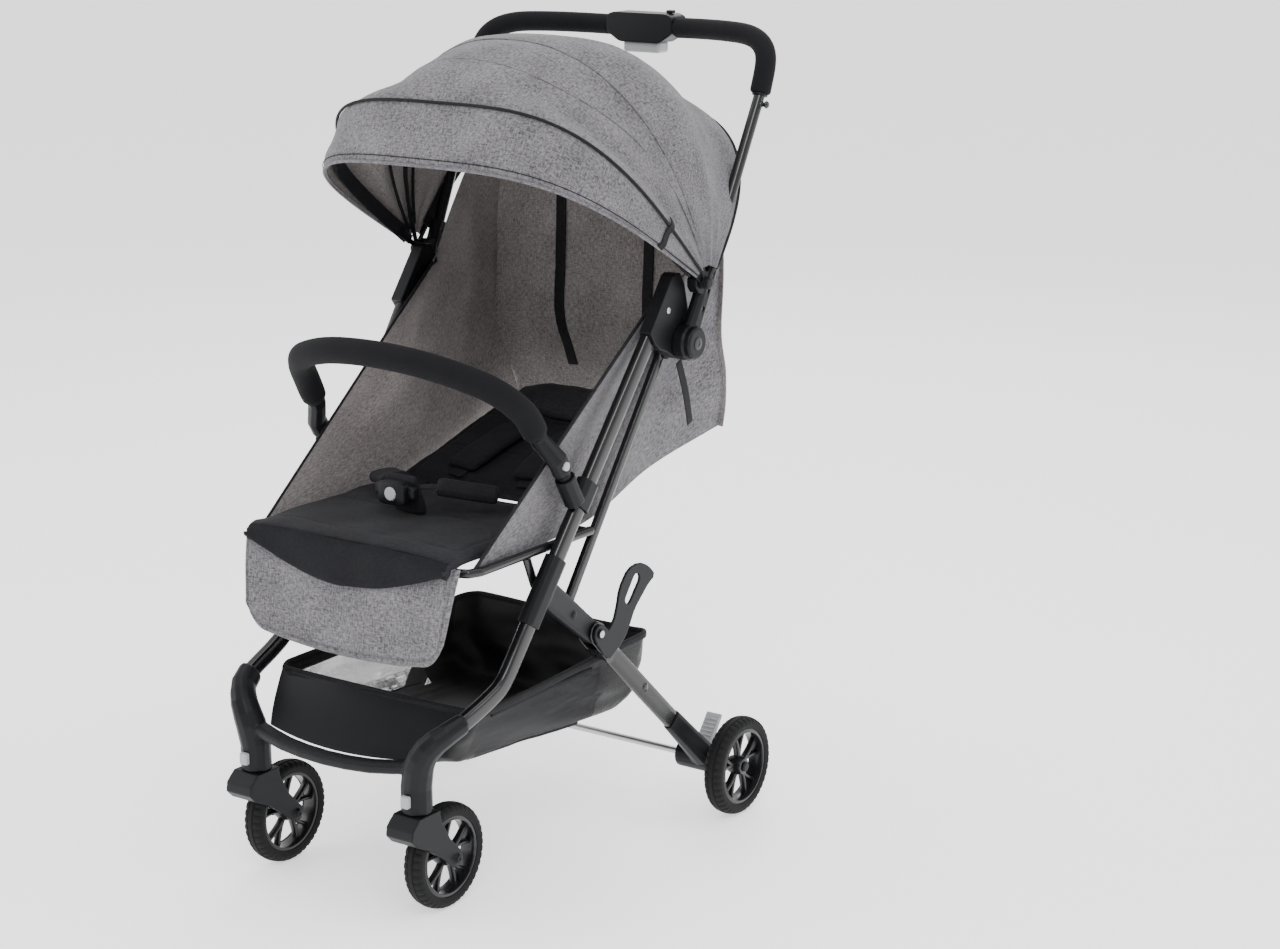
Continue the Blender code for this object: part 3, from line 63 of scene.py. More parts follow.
def stage(words):
    print("stroller:", words, round(time.time() - started, 1), "s", flush=True)


# ---- materials

def newMaterial(name, roughness=0.5, **constants):
    material = bpy.data.materials.new(name)
    material.use_nodes = True
    shader = material.node_tree.nodes["Principled BSDF"]
    shader.inputs["Roughness"].default_value = roughness
    for key, value in constants.items():
        shader.inputs[key.replace("_", " ")].default_value = value
    return material, material.node_tree, shader


def addNode(tree, kind, settings=None, **inputs):
    node = tree.nodes.new(kind)
    for key, value in (settings or {}).items():
        setattr(node, key, value)
    for key, value in inputs.items():
        socket = node.inputs[int(key[1:])] if key[0] == "i" and key[1:].isdigit() else node.inputs[key.replace("_", " ")]
        if isinstance(value, bpy.types.NodeSocket):
            tree.links.new(value, socket)
        else:
            socket.default_value = value
    return node


def maths(tree, kind, a, b=0.5, c=0.5):
    return addNode(tree, "ShaderNodeMath", {"operation": kind}, i0=a, i1=b, i2=c).outputs[0]


def mixColour(tree, share, a, b):
    node = addNode(tree, "ShaderNodeMix", {"data_type": "RGBA"})
    for socket, value in ((node.inputs[0], share), (node.inputs[6], a), (node.inputs[7], b)):
        if isinstance(value, bpy.types.NodeSocket):
            tree.links.new(value, socket)
        else:
            socket.default_value = value
    return node.outputs[2]


def rgba(r, g, b):
    return (r, g, b, 1.0)


def stretched(tree, vector, x, y, z=1.0):
    return addNode(tree, "ShaderNodeMapping", i0=vector, Scale=(x, y, z)).outputs[0]


def speckle(tree, vector, scale, detail=2.0):
    return addNode(tree, "ShaderNodeTexNoise", Vector=vector, Scale=scale, Detail=detail, Roughness=0.6).outputs[0]


def ramp(tree, value, low, high):
    return addNode(tree, "ShaderNodeMapRange", i0=value, i1=low, i2=high, i3=0.0, i4=1.0).outputs[0]


def bumpInto(tree, shader, height, strength, distance):
    bump = addNode(tree, "ShaderNodeBump", Height=height, Strength=strength, Distance=distance)
    tree.links.new(bump.outputs[0], shader.inputs["Normal"])


def cloth(name, dark, light, contrast=1.0, thread=0.0011, mapped=True, sheen=0.25, rough=0.88):
    material, tree, shader = newMaterial(name, rough, Sheen_Weight=sheen * 0.4, Sheen_Roughness=0.5, Specular_IOR_Level=0.2)
    if mapped:
        place = addNode(tree, "ShaderNodeAttribute", {"attribute_name": "weave"}).outputs["Vector"]
    else:
        place = addNode(tree, "ShaderNodeTexCoord").outputs["Object"]
    along = speckle(tree, stretched(tree, place, 150, 460, 400), 1.0, 3.0)
    across = speckle(tree, stretched(tree, place, 460, 150, 400), 1.0, 3.0)
    slub = maths(tree, "ADD", maths(tree, "MULTIPLY", along, 0.5), maths(tree, "MULTIPLY", across, 0.5))
    broad = speckle(tree, place, 14.0, 2.0)
    fine = speckle(tree, place, 1500.0, 1.0)
    tone = maths(tree, "ADD", slub, maths(tree, "MULTIPLY", maths(tree, "SUBTRACT", broad, 0.5), 0.22))
    tone = maths(tree, "ADD", tone, maths(tree, "MULTIPLY", maths(tree, "SUBTRACT", fine, 0.5), 0.18))
    half = 0.17 / contrast
    tone = ramp(tree, tone, 0.5 - half, 0.5 + half)
    colour = mixColour(tree, tone, dark, light)
    # painted shade along seams and hems: where the seam attribute is set, the colour goes towards a darker copy of the
    # dark thread
    seamShade = addNode(tree, "ShaderNodeAttribute", {"attribute_name": "seam"}).outputs["Fac"]
    colour = mixColour(tree, maths(tree, "MULTIPLY", seamShade, 0.55), colour, rgba(dark[0] * 0.35, dark[1] * 0.35, dark[2] * 0.35))
    tree.links.new(colour, shader.inputs["Base Color"])
    turn = 2 * math.pi / thread
    split = addNode(tree, "ShaderNodeSeparateXYZ", Vector=place)
    warp = maths(tree, "SINE", maths(tree, "MULTIPLY", split.outputs[0], turn))
    weft = maths(tree, "SINE", maths(tree, "MULTIPLY", split.outputs[1], turn))
    height = maths(tree, "ADD", maths(tree, "MULTIPLY", maths(tree, "MULTIPLY", warp, weft), 0.35), maths(tree, "MULTIPLY", slub, 1.4))
    bumpInto(tree, shader, height, 0.35, 0.0004)
    return material


# hard finishes: the lightening amount paints a highlight on sharp edges and gives a random cloudy tone
def hard(name, base, rough, grain=1400.0, bump=0.05, vary=0.06, highlightAndTone=0.03, **constants):
    material, tree, shader = newMaterial(name, rough, **constants)
    place = addNode(tree, "ShaderNodeTexCoord").outputs["Object"]
    cloudy = speckle(tree, place, 24.0, 4.0)
    small = speckle(tree, place, grain, 2.0)
    # the lighter colour is a painted highlight on sharp edges (from pointiness) and the material's own tone in cloudy
    # patches
    highlightAndToneColour = rgba(min(1, base[0] + highlightAndTone), min(1, base[1] + highlightAndTone), min(1, base[2] + highlightAndTone))
    edge = ramp(tree, addNode(tree, "ShaderNodeNewGeometry").outputs["Pointiness"], 0.52, 0.62)
    tone = maths(tree, "ADD", maths(tree, "MULTIPLY", edge, 0.6), maths(tree, "MULTIPLY", ramp(tree, cloudy, 0.35, 0.75), 0.4))
    tree.links.new(mixColour(tree, tone, rgba(*base), highlightAndToneColour), shader.inputs["Base Color"])
    value = maths(tree, "ADD", rough - vary / 2, maths(tree, "MULTIPLY", cloudy, vary))
    tree.links.new(value, shader.inputs["Roughness"])
    bumpInto(tree, shader, small, bump, 0.0006)
    return material


def netting(name, colour, pitch, openness):
    material, tree, shader = newMaterial(name, 0.7)
    shader.inputs["Base Color"].default_value = colour
    place = addNode(tree, "ShaderNodeAttribute", {"attribute_name": "weave"}).outputs["Vector"]
    split = addNode(tree, "ShaderNodeSeparateXYZ", Vector=place)
    turn = 2 * math.pi / pitch
    a = maths(tree, "SINE", maths(tree, "MULTIPLY", maths(tree, "ADD", split.outputs[0], split.outputs[1]), turn))
    b = maths(tree, "SINE", maths(tree, "MULTIPLY", maths(tree, "SUBTRACT", split.outputs[0], split.outputs[1]), turn))
    hole = maths(tree, "GREATER_THAN", maths(tree, "MULTIPLY", a, b), openness)
    tree.links.new(maths(tree, "SUBTRACT", 1.0, hole), shader.inputs["Alpha"])
    bumpInto(tree, shader, a, 0.2, 0.0003)
    return material


greyCloth = cloth("heather grey cloth", rgba(0.044, 0.042, 0.047), rgba(0.222, 0.214, 0.230), 1.2)
# the lining's own brown grey, made lighter as painted light shining through the thin cloth
liningLitThrough = cloth("brown grey lining", rgba(0.095, 0.085, 0.082), rgba(0.345, 0.318, 0.312), 1.0)
charcoalCloth = cloth("charcoal cloth", rgba(0.006, 0.006, 0.008), rgba(0.024, 0.024, 0.030), 0.9, 0.0010, True, 0.1)
blackCloth = cloth("black cloth", rgba(0.003, 0.003, 0.004), rgba(0.011, 0.011, 0.015), 0.8, 0.0009, True, 0.05)
greyPadCloth = cloth("heather grey pad cloth", rgba(0.046, 0.044, 0.048), rgba(0.225, 0.219, 0.228), 1.2, 0.0011, False)
blackPadCloth = cloth("black pad cloth", rgba(0.003, 0.003, 0.0045), rgba(0.012, 0.012, 0.016), 0.8, 0.0009, False, 0.05)
charcoalPadCloth = cloth("charcoal pad cloth", rgba(0.008, 0.008, 0.010), rgba(0.030, 0.029, 0.034), 0.9, 0.0010, False, 0.1)
satinCloth = cloth("black bag cloth", rgba(0.003, 0.003, 0.0035), rgba(0.009, 0.009, 0.011), 0.7, 0.0007, True, 0.02, 0.38)
webbing = cloth("black webbing", rgba(0.003, 0.003, 0.004), rgba(0.013, 0.013, 0.016), 1.1, 0.0016, True, 0.03, 0.7)
blackNet = netting("black net", rgba(0.02, 0.02, 0.022), 0.0034, 0.02)
blackPlastic = hard("black plastic", (0.0035, 0.0038, 0.0055), 0.44, 1500, 0.08, 0.10, 0.004, Specular_IOR_Level=0.20)
glossPlastic = hard("gloss black plastic", (0.0045, 0.0045, 0.0060), 0.28, 900, 0.02, 0.08, 0.004, Coat_Weight=0.15, Coat_Roughness=0.15, Specular_IOR_Level=0.35)
greyPlastic = hard("grey plastic", (0.33, 0.34, 0.35), 0.42, 1200, 0.06, 0.10, 0.10)
tubePaint = hard("black tube paint", (0.0035, 0.0035, 0.0045), 0.26, 700, 0.02, 0.08, 0.003, Coat_Weight=0.25, Coat_Roughness=0.12, Specular_IOR_Level=0.40)
foamSkin = hard("charcoal foam", (0.0050, 0.0050, 0.0068), 0.86, 2600, 0.40, 0.08, 0.005, Sheen_Weight=0.02, Specular_IOR_Level=0.15)
tyreRubber = hard("tyre rubber", (0.0045, 0.0045, 0.0052), 0.70, 1800, 0.20, 0.12, 0.006, Specular_IOR_Level=0.20)
steel = hard("plain steel", (0.50, 0.50, 0.51), 0.30, 900, 0.04, 0.10, 0.06, Metallic=1.0)

# ---- shape helpers

def makeObject(name, build, materials, smoothTurn=None):
    mesh = bpy.data.meshes.new(name)
    build.to_mesh(mesh)
    build.free()
    piece = bpy.data.objects.new(name, mesh)
    bpy.context.scene.collection.objects.link(piece)
    for material in materials if isinstance(materials, (list, tuple)) else [materials]:
        mesh.materials.append(material)
    mesh.polygons.foreach_set("use_smooth", [True] * len(mesh.polygons))
    if smoothTurn:
        sharpen(piece, smoothTurn)
    return piece


def sharpen(piece, degrees):
    mesh = piece.data
    build = bmesh.new()
    build.from_mesh(mesh)
    for edge in build.edges:
        edge.smooth = len(edge.link_faces) == 2 and edge.calc_face_angle(0) < math.radians(degrees)
    build.to_mesh(mesh)
    build.free()


def finish(piece, body, slot=None, *nodes):
    if nodes:
        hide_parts(*nodes)
    if body:
        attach(piece, body)
    return piece


def through(points, step):
    """a smooth line through points, evenly spaced"""
    ends = [points[0] * 2 - points[1]] + list(points) + [points[-1] * 2 - points[-2]]
    fine = []
    for p0, p1, p2, p3 in zip(ends, ends[1:], ends[2:], ends[3:]):
        for k in range(24):
            t = k / 24
            fine.append(0.5 * ((2 * p1) + (p2 - p0) * t + (2 * p0 - 5 * p1 + 4 * p2 - p3) * t * t + (3 * p1 - p0 - 3 * p2 + p3) * t ** 3))
    fine.append(points[-1].copy())
    run = [0.0]
    for a, b in zip(fine, fine[1:]):
        run.append(run[-1] + (b - a).length)
    count = max(2, round(run[-1] / step) + 1)
    out, spot = [], 0
    for k in range(count):
        goal = run[-1] * k / (count - 1)
        while spot < len(run) - 2 and run[spot + 1] < goal:
            spot += 1
        out.append(fine[spot].lerp(fine[spot + 1], (goal - run[spot]) / max(run[spot + 1] - run[spot], 1e-9)))
    return out


def lineFrames(points, across):
    out, u = [], across
    for i, point in enumerate(points):
        tangent = (points[min(i + 1, len(points) - 1)] - points[max(i - 1, 0)]).normalized()
        u = (u - tangent * u.dot(tangent)).normalized()
        out.append((point, tangent, u, tangent.cross(u)))
    return out


def oval(centre, u, v, halfU, halfV, sides, power=2.0):
    ring = []
    for k in range(sides):
        turn = 2 * math.pi * (k + 0.5) / sides
        c, s = math.cos(turn), math.sin(turn)
        ring.append(centre + u * math.copysign(abs(c) ** (2 / power), c) * halfU + v * math.copysign(abs(s) ** (2 / power), s) * halfV)
    return ring


def loft(name, rings, materials, caps=True, around=False, turn=50):
    """a skin through rings, with the distances along and round it kept for the weave"""
    build = bmesh.new()
    layer = build.verts.layers.float_vector.new("weave")
    rows, run = [], 0.0
    for i, ring in enumerate(rings):
        if i:
            run += (sum((p for p in ring), Vector()) / len(ring) - sum((p for p in rings[i - 1]), Vector()) / len(ring)).length
        row, side = [], 0.0
        for j, point in enumerate(ring):
            vert = build.verts.new(point)
            if j:
                side += (point - ring[j - 1]).length
            vert[layer] = (run, side, 0)
            row.append(vert)
        rows.append(row)
    pairs = list(zip(rows, rows[1:])) + ([(rows[-1], rows[0])] if around else [])
    for low, high in pairs:
        for i in range(len(low)):
            j = (i + 1) % len(low)
            build.faces.new((low[i], low[j], high[j], high[i]))
    if caps and not around:
        build.faces.new(rows[0][::-1])
        build.faces.new(rows[-1])
    bmesh.ops.recalc_face_normals(build, faces=build.faces)
    return makeObject(name, build, materials, turn)


def bar(name, points, halfU, halfV, material, sides=28, across=Vector((1, 0, 0)), power=2.0, roundEnd=0.0012):
    """a bar along a line, with softly rounded ends"""
    wide = halfU if isinstance(halfU, list) else [halfU] * len(points)
    tall = halfV if isinstance(halfV, list) else [halfV] * len(points)
    rows = lineFrames(points, across)
    rings = [oval(p, u, v, a, b, sides, power) for (p, t, u, v), a, b in zip(rows, wide, tall)]
    if roundEnd:
        p, t, u, v = rows[0]
        rings[0] = oval(p + t * roundEnd, u, v, wide[0], tall[0], sides, power)
        rings.insert(0, oval(p + t * roundEnd * 0.3, u, v, wide[0] - roundEnd * 0.3, tall[0] - roundEnd * 0.3, sides, power))
        rings.insert(0, oval(p, u, v, wide[0] - roundEnd, tall[0] - roundEnd, sides, power))
        p, t, u, v = rows[-1]
        rings[-1] = oval(p - t * roundEnd, u, v, wide[-1], tall[-1], sides, power)
        rings.append(oval(p - t * roundEnd * 0.3, u, v, wide[-1] - roundEnd * 0.3, tall[-1] - roundEnd * 0.3, sides, power))
        rings.append(oval(p, u, v, wide[-1] - roundEnd, tall[-1] - roundEnd, sides, power))
    return loft(name, rings, material)


def mirrorPoints(points):
    return [Vector((-p.x, p.y, p.z)) for p in points]


def sheetOf(name, rows, thickness, materials, seams=None, wrinkle=None, outward=1):
    """a cloth skin through rows of points: material 0 outside, 1 inside, edges 0. seams(i, j) gives the painted seam
    shade, 0 to 1.
    """
    build = bmesh.new()
    layer = build.verts.layers.float_vector.new("weave")
    seamShade = build.verts.layers.float.new("seam")
    m, n = len(rows), len(rows[0])
    normals = [[None] * n for _ in range(m)]
    for i in range(m):
        for j in range(n):
            ahead = rows[min(i + 1, m - 1)][j] - rows[max(i - 1, 0)][j]
            beside = rows[i][min(j + 1, n - 1)] - rows[i][max(j - 1, 0)]
            normals[i][j] = beside.cross(ahead).normalized() * outward
    placeU = [[0.0] * n for _ in range(m)]
    for i in range(1, m):
        for j in range(n):
            placeU[i][j] = placeU[i - 1][j] + (rows[i][n // 2] - rows[i - 1][n // 2]).length
    placeV = [[0.0] * n for _ in range(m)]
    for i in range(m):
        for j in range(1, n):
            placeV[i][j] = placeV[i][j - 1] + (rows[m // 2][j] - rows[m // 2][j - 1]).length
    outer, inner = [], []
    for side, grid in ((0, outer), (1, inner)):
        for i in range(m):
            line = []
            for j in range(n):
                lift = wrinkle(i, j) if wrinkle else 0.0
                vert = build.verts.new(rows[i][j] + normals[i][j] * (lift - thickness * side))
                vert[layer] = (placeU[i][j], placeV[i][j], 0)
                # the seam value paints shade along sewn lines
                vert[seamShade] = seams(i, j) if seams else 0.0
                line.append(vert)
            grid.append(line)
    for i in range(m - 1):
        for j in range(n - 1):
            build.faces.new((outer[i][j], outer[i][j + 1], outer[i + 1][j + 1], outer[i + 1][j])).material_index = 0
            build.faces.new((inner[i][j], inner[i + 1][j], inner[i + 1][j + 1], inner[i][j + 1])).material_index = 1
    edge = [(i, 0, i + 1, 0) for i in range(m - 1)] + [(i, n - 1, i + 1, n - 1) for i in range(m - 1)]
    edge += [(0, j, 0, j + 1) for j in range(n - 1)] + [(m - 1, j, m - 1, j + 1) for j in range(n - 1)]
    for a, b, c, d in edge:
        build.faces.new((outer[a][b], outer[c][d], inner[c][d], inner[a][b]))
    bmesh.ops.recalc_face_normals(build, faces=build.faces)
    return makeObject(name, build, materials, 75)


def copyOf(name, node, material):
    mesh = frame["nodes"][node].data.copy()
    mesh.name = name
    mesh.materials.clear()
    mesh.materials.append(material)
    piece = bpy.data.objects.new(name, mesh)
    bpy.context.scene.collection.objects.link(piece)
    return piece


def applyAll(piece):
    graph = bpy.context.evaluated_depsgraph_get()
    mesh = bpy.data.meshes.new_from_object(piece.evaluated_get(graph))
    piece.modifiers.clear()
    piece.data = mesh
    return piece


def moulded(node, material, voxel=0.0011, passes=6):
    """a casting with the CAD solid's form and the soft edges of a moulding"""
    piece = copyOf(node + "_moulded", node, material)
    remesh = piece.modifiers.new("grid", "REMESH")
    remesh.mode = "VOXEL"
    remesh.voxel_size = voxel * 1.0
    soften = piece.modifiers.new("soften", "SMOOTH")
    soften.factor = 0.5
    soften.iterations = passes
    applyAll(piece)
    piece.data.polygons.foreach_set("use_smooth", [True] * len(piece.data.polygons))
    return finish(piece, nodeBody[node], slotOf[node], node)


# ---- metal tubes

tubes = {"halfX": 0.008, "halfV": 0.0115, "linkHalfX": 0.0055, "linkHalfV": 0.008, "legHalfX": 0.007, "legHalfV": 0.0135}
sideLine = [at(*p) for p in (
    (0.132, -0.050, 0.1415), (0.132, -0.050, 0.160), (0.132, -0.050, 0.175), (0.137, -0.052, 0.200), (0.150, -0.049, 0.225),
    (0.166, -0.032, 0.242), (0.1735, -0.010, 0.2515), (0.178, 0.0386, 0.270), (0.1794, 0.0636, 0.2845), (0.1813, 0.0887, 0.3163),
    (0.1842, 0.109, 0.347), (0.190, 0.161, 0.4224), (0.1975, 0.276, 0.5777), (0.205, 0.391, 0.733))]
tubeFine = [p for p in through(sideLine, 0.006) if p.z > 0.244]
for side, sign in (("l", 1), ("r", -1)):
    line = tubeFine if sign > 0 else mirrorPoints(tubeFine)
    finish(bar("front_tube_skin_" + side, line, tubes["halfX"], tubes["halfV"], tubePaint, 32, Vector((1, 0, 0)), 3.0), "front_frame", "tube_black", "front_tube_" + side)
stage("tubes")

# ---- mouldings that keep the solid's form

for node, material, voxel, passes in (
        ("front_casting", blackPlastic, 0.0013, 5), ("y_connector_l", blackPlastic, 0.0011, 5), ("y_connector_r", blackPlastic, 0.0011, 5),
        ("top_bracket_l", blackPlastic, 0.0009, 4), ("top_bracket_r", blackPlastic, 0.0009, 4),
        ("bumper_socket_l", blackPlastic, 0.0009, 4), ("bumper_socket_r", blackPlastic, 0.0009, 4),
        ("bumper_post_l", blackPlastic, 0.0009, 4), ("bumper_post_r", blackPlastic, 0.0009, 4),
        ("caster_fork_l", blackPlastic, 0.0010, 5), ("caster_fork_r", blackPlastic, 0.0010, 5),
        ("rear_leg_l", tubePaint, 0.0011, 5), ("rear_leg_r", tubePaint, 0.0011, 5),
        ("rear_bracket_l", blackPlastic, 0.0010, 5), ("rear_bracket_r", blackPlastic, 0.0010, 5),
        ("handle_socket_l", blackPlastic, 0.0009, 4), ("handle_socket_r", blackPlastic, 0.0009, 4),
        ("handle_housing", blackPlastic, 0.0009, 5), ("latch_hook", blackPlastic, 0.0007, 3), ("brake_pedal", greyPlastic, 0.0007, 3),
        ("squeeze_lever", greyPlastic, 0.0007, 4), ("safety_slider", blackPlastic, 0.0004, 3), ("seat_frame", tubePaint, 0.0011, 6),
        ("link_tube_l", tubePaint, 0.0010, 5), ("link_tube_r", tubePaint, 0.0010, 5), ("handle_tube", tubePaint, 0.0012, 6),
        ("brake_rod", steel, 0.0008, 4), ("front_bow", blackPlastic, 0.0008, 2),
        ("lock_slider_l", greyPlastic, 0.0004, 3), ("lock_slider_r", greyPlastic, 0.0004, 3), ("buckle_button", greyPlastic, 0.0004, 3),
        ("bumper_button_l", greyPlastic, 0.0003, 3), ("bumper_button_r", greyPlastic, 0.0003, 3)):
    moulded(node, material, voxel, passes)
stage("mouldings")

# ---- wheels

wheel = {"radius": 0.0675, "bead": 0.0512, "segments": 168, "lugs": 42, "spokes": 5}
tyreProfile = [(0.0, 0.0675), (0.0028, 0.0673), (0.0034, 0.0661), (0.0046, 0.0661), (0.0052, 0.0669), (0.0085, 0.0661),
               (0.0112, 0.0645), (0.0130, 0.0618), (0.0137, 0.0585), (0.0134, 0.0560), (0.0129, 0.0550), (0.0131, 0.0538), (0.0120, 0.0518)]
rimProfile = [(-0.0112, 0.0515), (-0.0118, 0.0500), (-0.0112, 0.0478), (-0.0080, 0.0468), (0.0, 0.0462), (0.0080, 0.0468),
              (0.0112, 0.0478), (0.0118, 0.0500), (0.0112, 0.0515)]


def lathe(name, centre, profile, material, segments, shape=None):
    """profile is (offset along X, radius), closed on itself"""
    rings = []
    for s in range(segments):
        turn = 2 * math.pi * s / segments
        ring = []
        for offset, radius in profile:
            r = radius - (shape(offset, radius, s) if shape else 0.0)
            ring.append(centre + Vector((offset, r * math.cos(turn), r * math.sin(turn))))
        rings.append(ring)
    return loft(name, rings, material, around=True, turn=40)


def tread(offset, radius, s):
    wide = abs(offset)
    if radius < 0.0600 or wide < 0.0050:
        return 0.0
    k = (s + (2 if offset > 0 else 0)) % 4
    return 0.0016 if k == 0 else 0.0


def joined(name, pieces):
    build = bmesh.new()
    materials = []
    for piece in pieces:
        start = len(build.faces)
        build.from_mesh(piece.data)
        build.faces.ensure_lookup_table()
        for material in piece.data.materials:
            if material not in materials:
                materials.append(material)
        own = [materials.index(m) for m in piece.data.materials]
        for face in build.faces[start:]:
            face.material_index = own[min(face.material_index, len(own) - 1)]
        bpy.data.objects.remove(piece)
    mesh = bpy.data.meshes.new(name)
    build.to_mesh(mesh)
    build.free()
    for material in materials:
        mesh.materials.append(material)
    whole = bpy.data.objects.new(name, mesh)
    bpy.context.scene.collection.objects.link(whole)
    return whole


def turned(name, centre, profile, material, segments=40, capped=True):
    """a solid of revolution about X, from (offset, radius) points"""
    rings = []
    for offset, radius in profile:
        rings.append([centre + Vector((offset, radius * math.cos(2 * math.pi * k / segments), radius * math.sin(2 * math.pi * k / segments))) for k in range(segments)])
    return loft(name, rings, material, caps=capped, turn=35)


def makeWheel(name, x, y, body, end):
    centre = at(x, y, wheel["radius"])
    outward = 1 if x > 0 else -1
    outside = [(-o, r) for o, r in reversed(tyreProfile[1:])] + tyreProfile
    inside = [(0.0118, 0.0520), (0.0, 0.0520), (-0.0118, 0.0520)]
    tyre = lathe(name + "_tyre_tread", centre, outside + inside, tyreRubber, wheel["segments"], tread)
    finish(tyre, body, "tyre_black", end + "_tyre_" + name[-1])
    parts = [lathe(name + "_ring", centre, rimProfile + [(0.0112, 0.0517), (-0.0112, 0.0517)], glossPlastic, 96)]
    parts.append(lathe(name + "_lip", centre + Vector((outward * 0.0112, 0, 0)), [(-0.0010, 0.0492), (0.0006, 0.0492), (0.0010, 0.0478), (0.0006, 0.0470), (-0.0010, 0.0470)], glossPlastic, 72))
    hub = [(-0.0118, 0.0), (-0.0118, 0.0090), (-0.0110, 0.0110), (-0.0040, 0.0135), (0.0040, 0.0135), (0.0110, 0.0110), (0.0118, 0.0090), (0.0118, 0.0)]
    parts.append(turned(name + "_hub", centre, [(o, max(r, 0.0043)) for o, r in hub], glossPlastic))
    for k in range(wheel["spokes"]):
        turn = 2 * math.pi * (k + 0.25) / wheel["spokes"]
        aim = Vector((0, math.cos(turn), math.sin(turn)))
        cross = Vector((0, -math.sin(turn), math.cos(turn)))
        for lean in (0.16, -0.16):
            line, wide, deep = [], [], []
            for t in (0.0, 0.3, 0.6, 0.85, 1.0):
                r = 0.011 + (0.0475 - 0.011) * t
                line.append(centre + aim * r * math.cos(lean * t) + cross * r * math.sin(lean * t) * 1.6)
                wide.append(0.0052 - 0.0014 * t + 0.0018 * max(0, t - 0.8) * 5)
                deep.append(0.0058 - 0.0026 * math.sin(math.pi * t * 0.5))
            parts.append(bar(name + "_spoke", through(line, 0.004), 0.0048, 0.0027, glossPlastic, 16, Vector((1, 0, 0)), 3.2, 0.0))
    rim = joined(name + "_open_rim", parts)
    finish(rim, body, "plastic_black", end + "_rim_" + name[-1])
    return centre


for side, sign in (("l", 1), ("r", -1)):
    makeWheel("front_wheel_" + side, sign * 0.132, 0.0, "front_wheel_" + side, "front")
    makeWheel("rear_wheel_" + side, sign * 0.262, 0.4725, "rear_wheel_" + side, "rear")
stage("wheels")

# ---- foam: handle grips and bumper bar

grip = {"radius": 0.0138, "housingHalf": 0.0543}
handleHub = at(0.2235, 0.404, 0.660)
gripPath = [at(*p) for p in ((0.236, 0.5537, 0.9675), (0.2345, 0.569, 1.007), (0.222, 0.580, 1.027), (0.195, 0.592, 1.0375),
                             (0.150, 0.607, 1.040), (0.080, 0.627, 1.039), (0.0, 0.634, 1.037))]
gripLine = [p for p in through(gripPath, 0.005) if p.x > grip["housingHalf"] + 0.0035]
gripLine.append(gripLine[-1] + (gripLine[-1] - gripLine[-2]).normalized() * ((gripLine[-1].x - grip["housingHalf"]) / abs((gripLine[-1] - gripLine[-2]).normalized().x)))
for side, sign in (("l", 1), ("r", -1)):
    line = gripLine if sign > 0 else mirrorPoints(gripLine)
    piece = bar("grip_foam_" + side, line, grip["radius"], grip["radius"], foamSkin, 36, roundEnd=0.003)
    finish(piece, "handle", "foam_charcoal", "foam_grip_" + side)
    aim = (line[1] - line[0]).normalized()
    lip = bar("grip_collar_" + side, [line[0] - aim * 0.0035, line[0] - aim * 0.0003], 0.0104, 0.0104, blackPlastic, 32, roundEnd=0.0010)
    finish(lip, "handle", "plastic_black")

bumper = {"radius": 0.0168, "path": ((0.1800, 0.1370, 0.5820), (0.1760, 0.1180, 0.6120), (0.1600, 0.0900, 0.6400), (0.1300, 0.0640, 0.6600), (0.0700, 0.0440, 0.6760), (0.0, 0.0380, 0.6810))}
halfLine = [at(*p) for p in bumper["path"]]
bumperLine = through(halfLine + mirrorPoints(halfLine[:-1])[::-1], 0.006)
count = len(bumperLine)
swell = [bumper["radius"] * (1.0 - 0.16 * math.exp(-min(i, count - 1 - i) / 0.8)) * (1 + 0.012 * noise.noise(p * 30)) for i, p in enumerate(bumperLine)]
piece = bar("bumper_foam", bumperLine, swell, swell, foamSkin, 40, roundEnd=0.003)
finish(piece, "bumper", "foam_charcoal", "bumper_bar")
stage("foam")

# ---- canopy

canopy = {"pivot": at(0.2265, 0.4225, 0.7365), "cloth": 0.0022, "across": 121}
archTable = [(150.5, 0.2352, 0.3290, 3.6), (149, 0.2378, 0.3322, 3.6), (146.5, 0.2392, 0.3338, 3.6), (143, 0.2384, 0.3330, 3.6), (138, 0.2398, 0.3368, 3.6), (136, 0.2410, 0.3400, 3.6),
             (129, 0.2412, 0.3435, 2.25), (122, 0.2415, 0.3361, 2.10), (115, 0.2415, 0.3279, 2.11), (108, 0.2412, 0.3194, 2.28),
             (100, 0.2430, 0.3111, 2.60), (90, 0.2445, 0.3010, 2.70), (79, 0.2455, 0.2880, 2.40), (65, 0.2455, 0.2730, 2.30), (51, 0.2445, 0.2640, 2.90)]
solidArch = {"mid_bow": (108, 0.2412, 0.3338, 3.2), "rear_bow": (51, 0.2445, 0.3047, 3.2)}


def archAt(angle):
    rows = sorted(archTable)
    spot = max(i for i in range(len(rows) - 1) if rows[i][0] <= angle + 1e-6)
    p0, p1, p2, p3 = rows[max(spot - 1, 0)], rows[spot], rows[spot + 1], rows[min(spot + 2, len(rows) - 1)]
    t = (angle - p1[0]) / (p2[0] - p1[0])
    out = []
    for k in (1, 2, 3):
        m1 = (p2[k] - p0[k]) / (p2[0] - p0[0]) * (p2[0] - p1[0])
        m2 = (p3[k] - p1[k]) / (p3[0] - p1[0]) * (p2[0] - p1[0])
        out.append((2 * t ** 3 - 3 * t ** 2 + 1) * p1[k] + (t ** 3 - 2 * t ** 2 + t) * m1 + (3 * t ** 2 - 2 * t ** 3) * p2[k] + (t ** 3 - t ** 2) * m2)
    return out


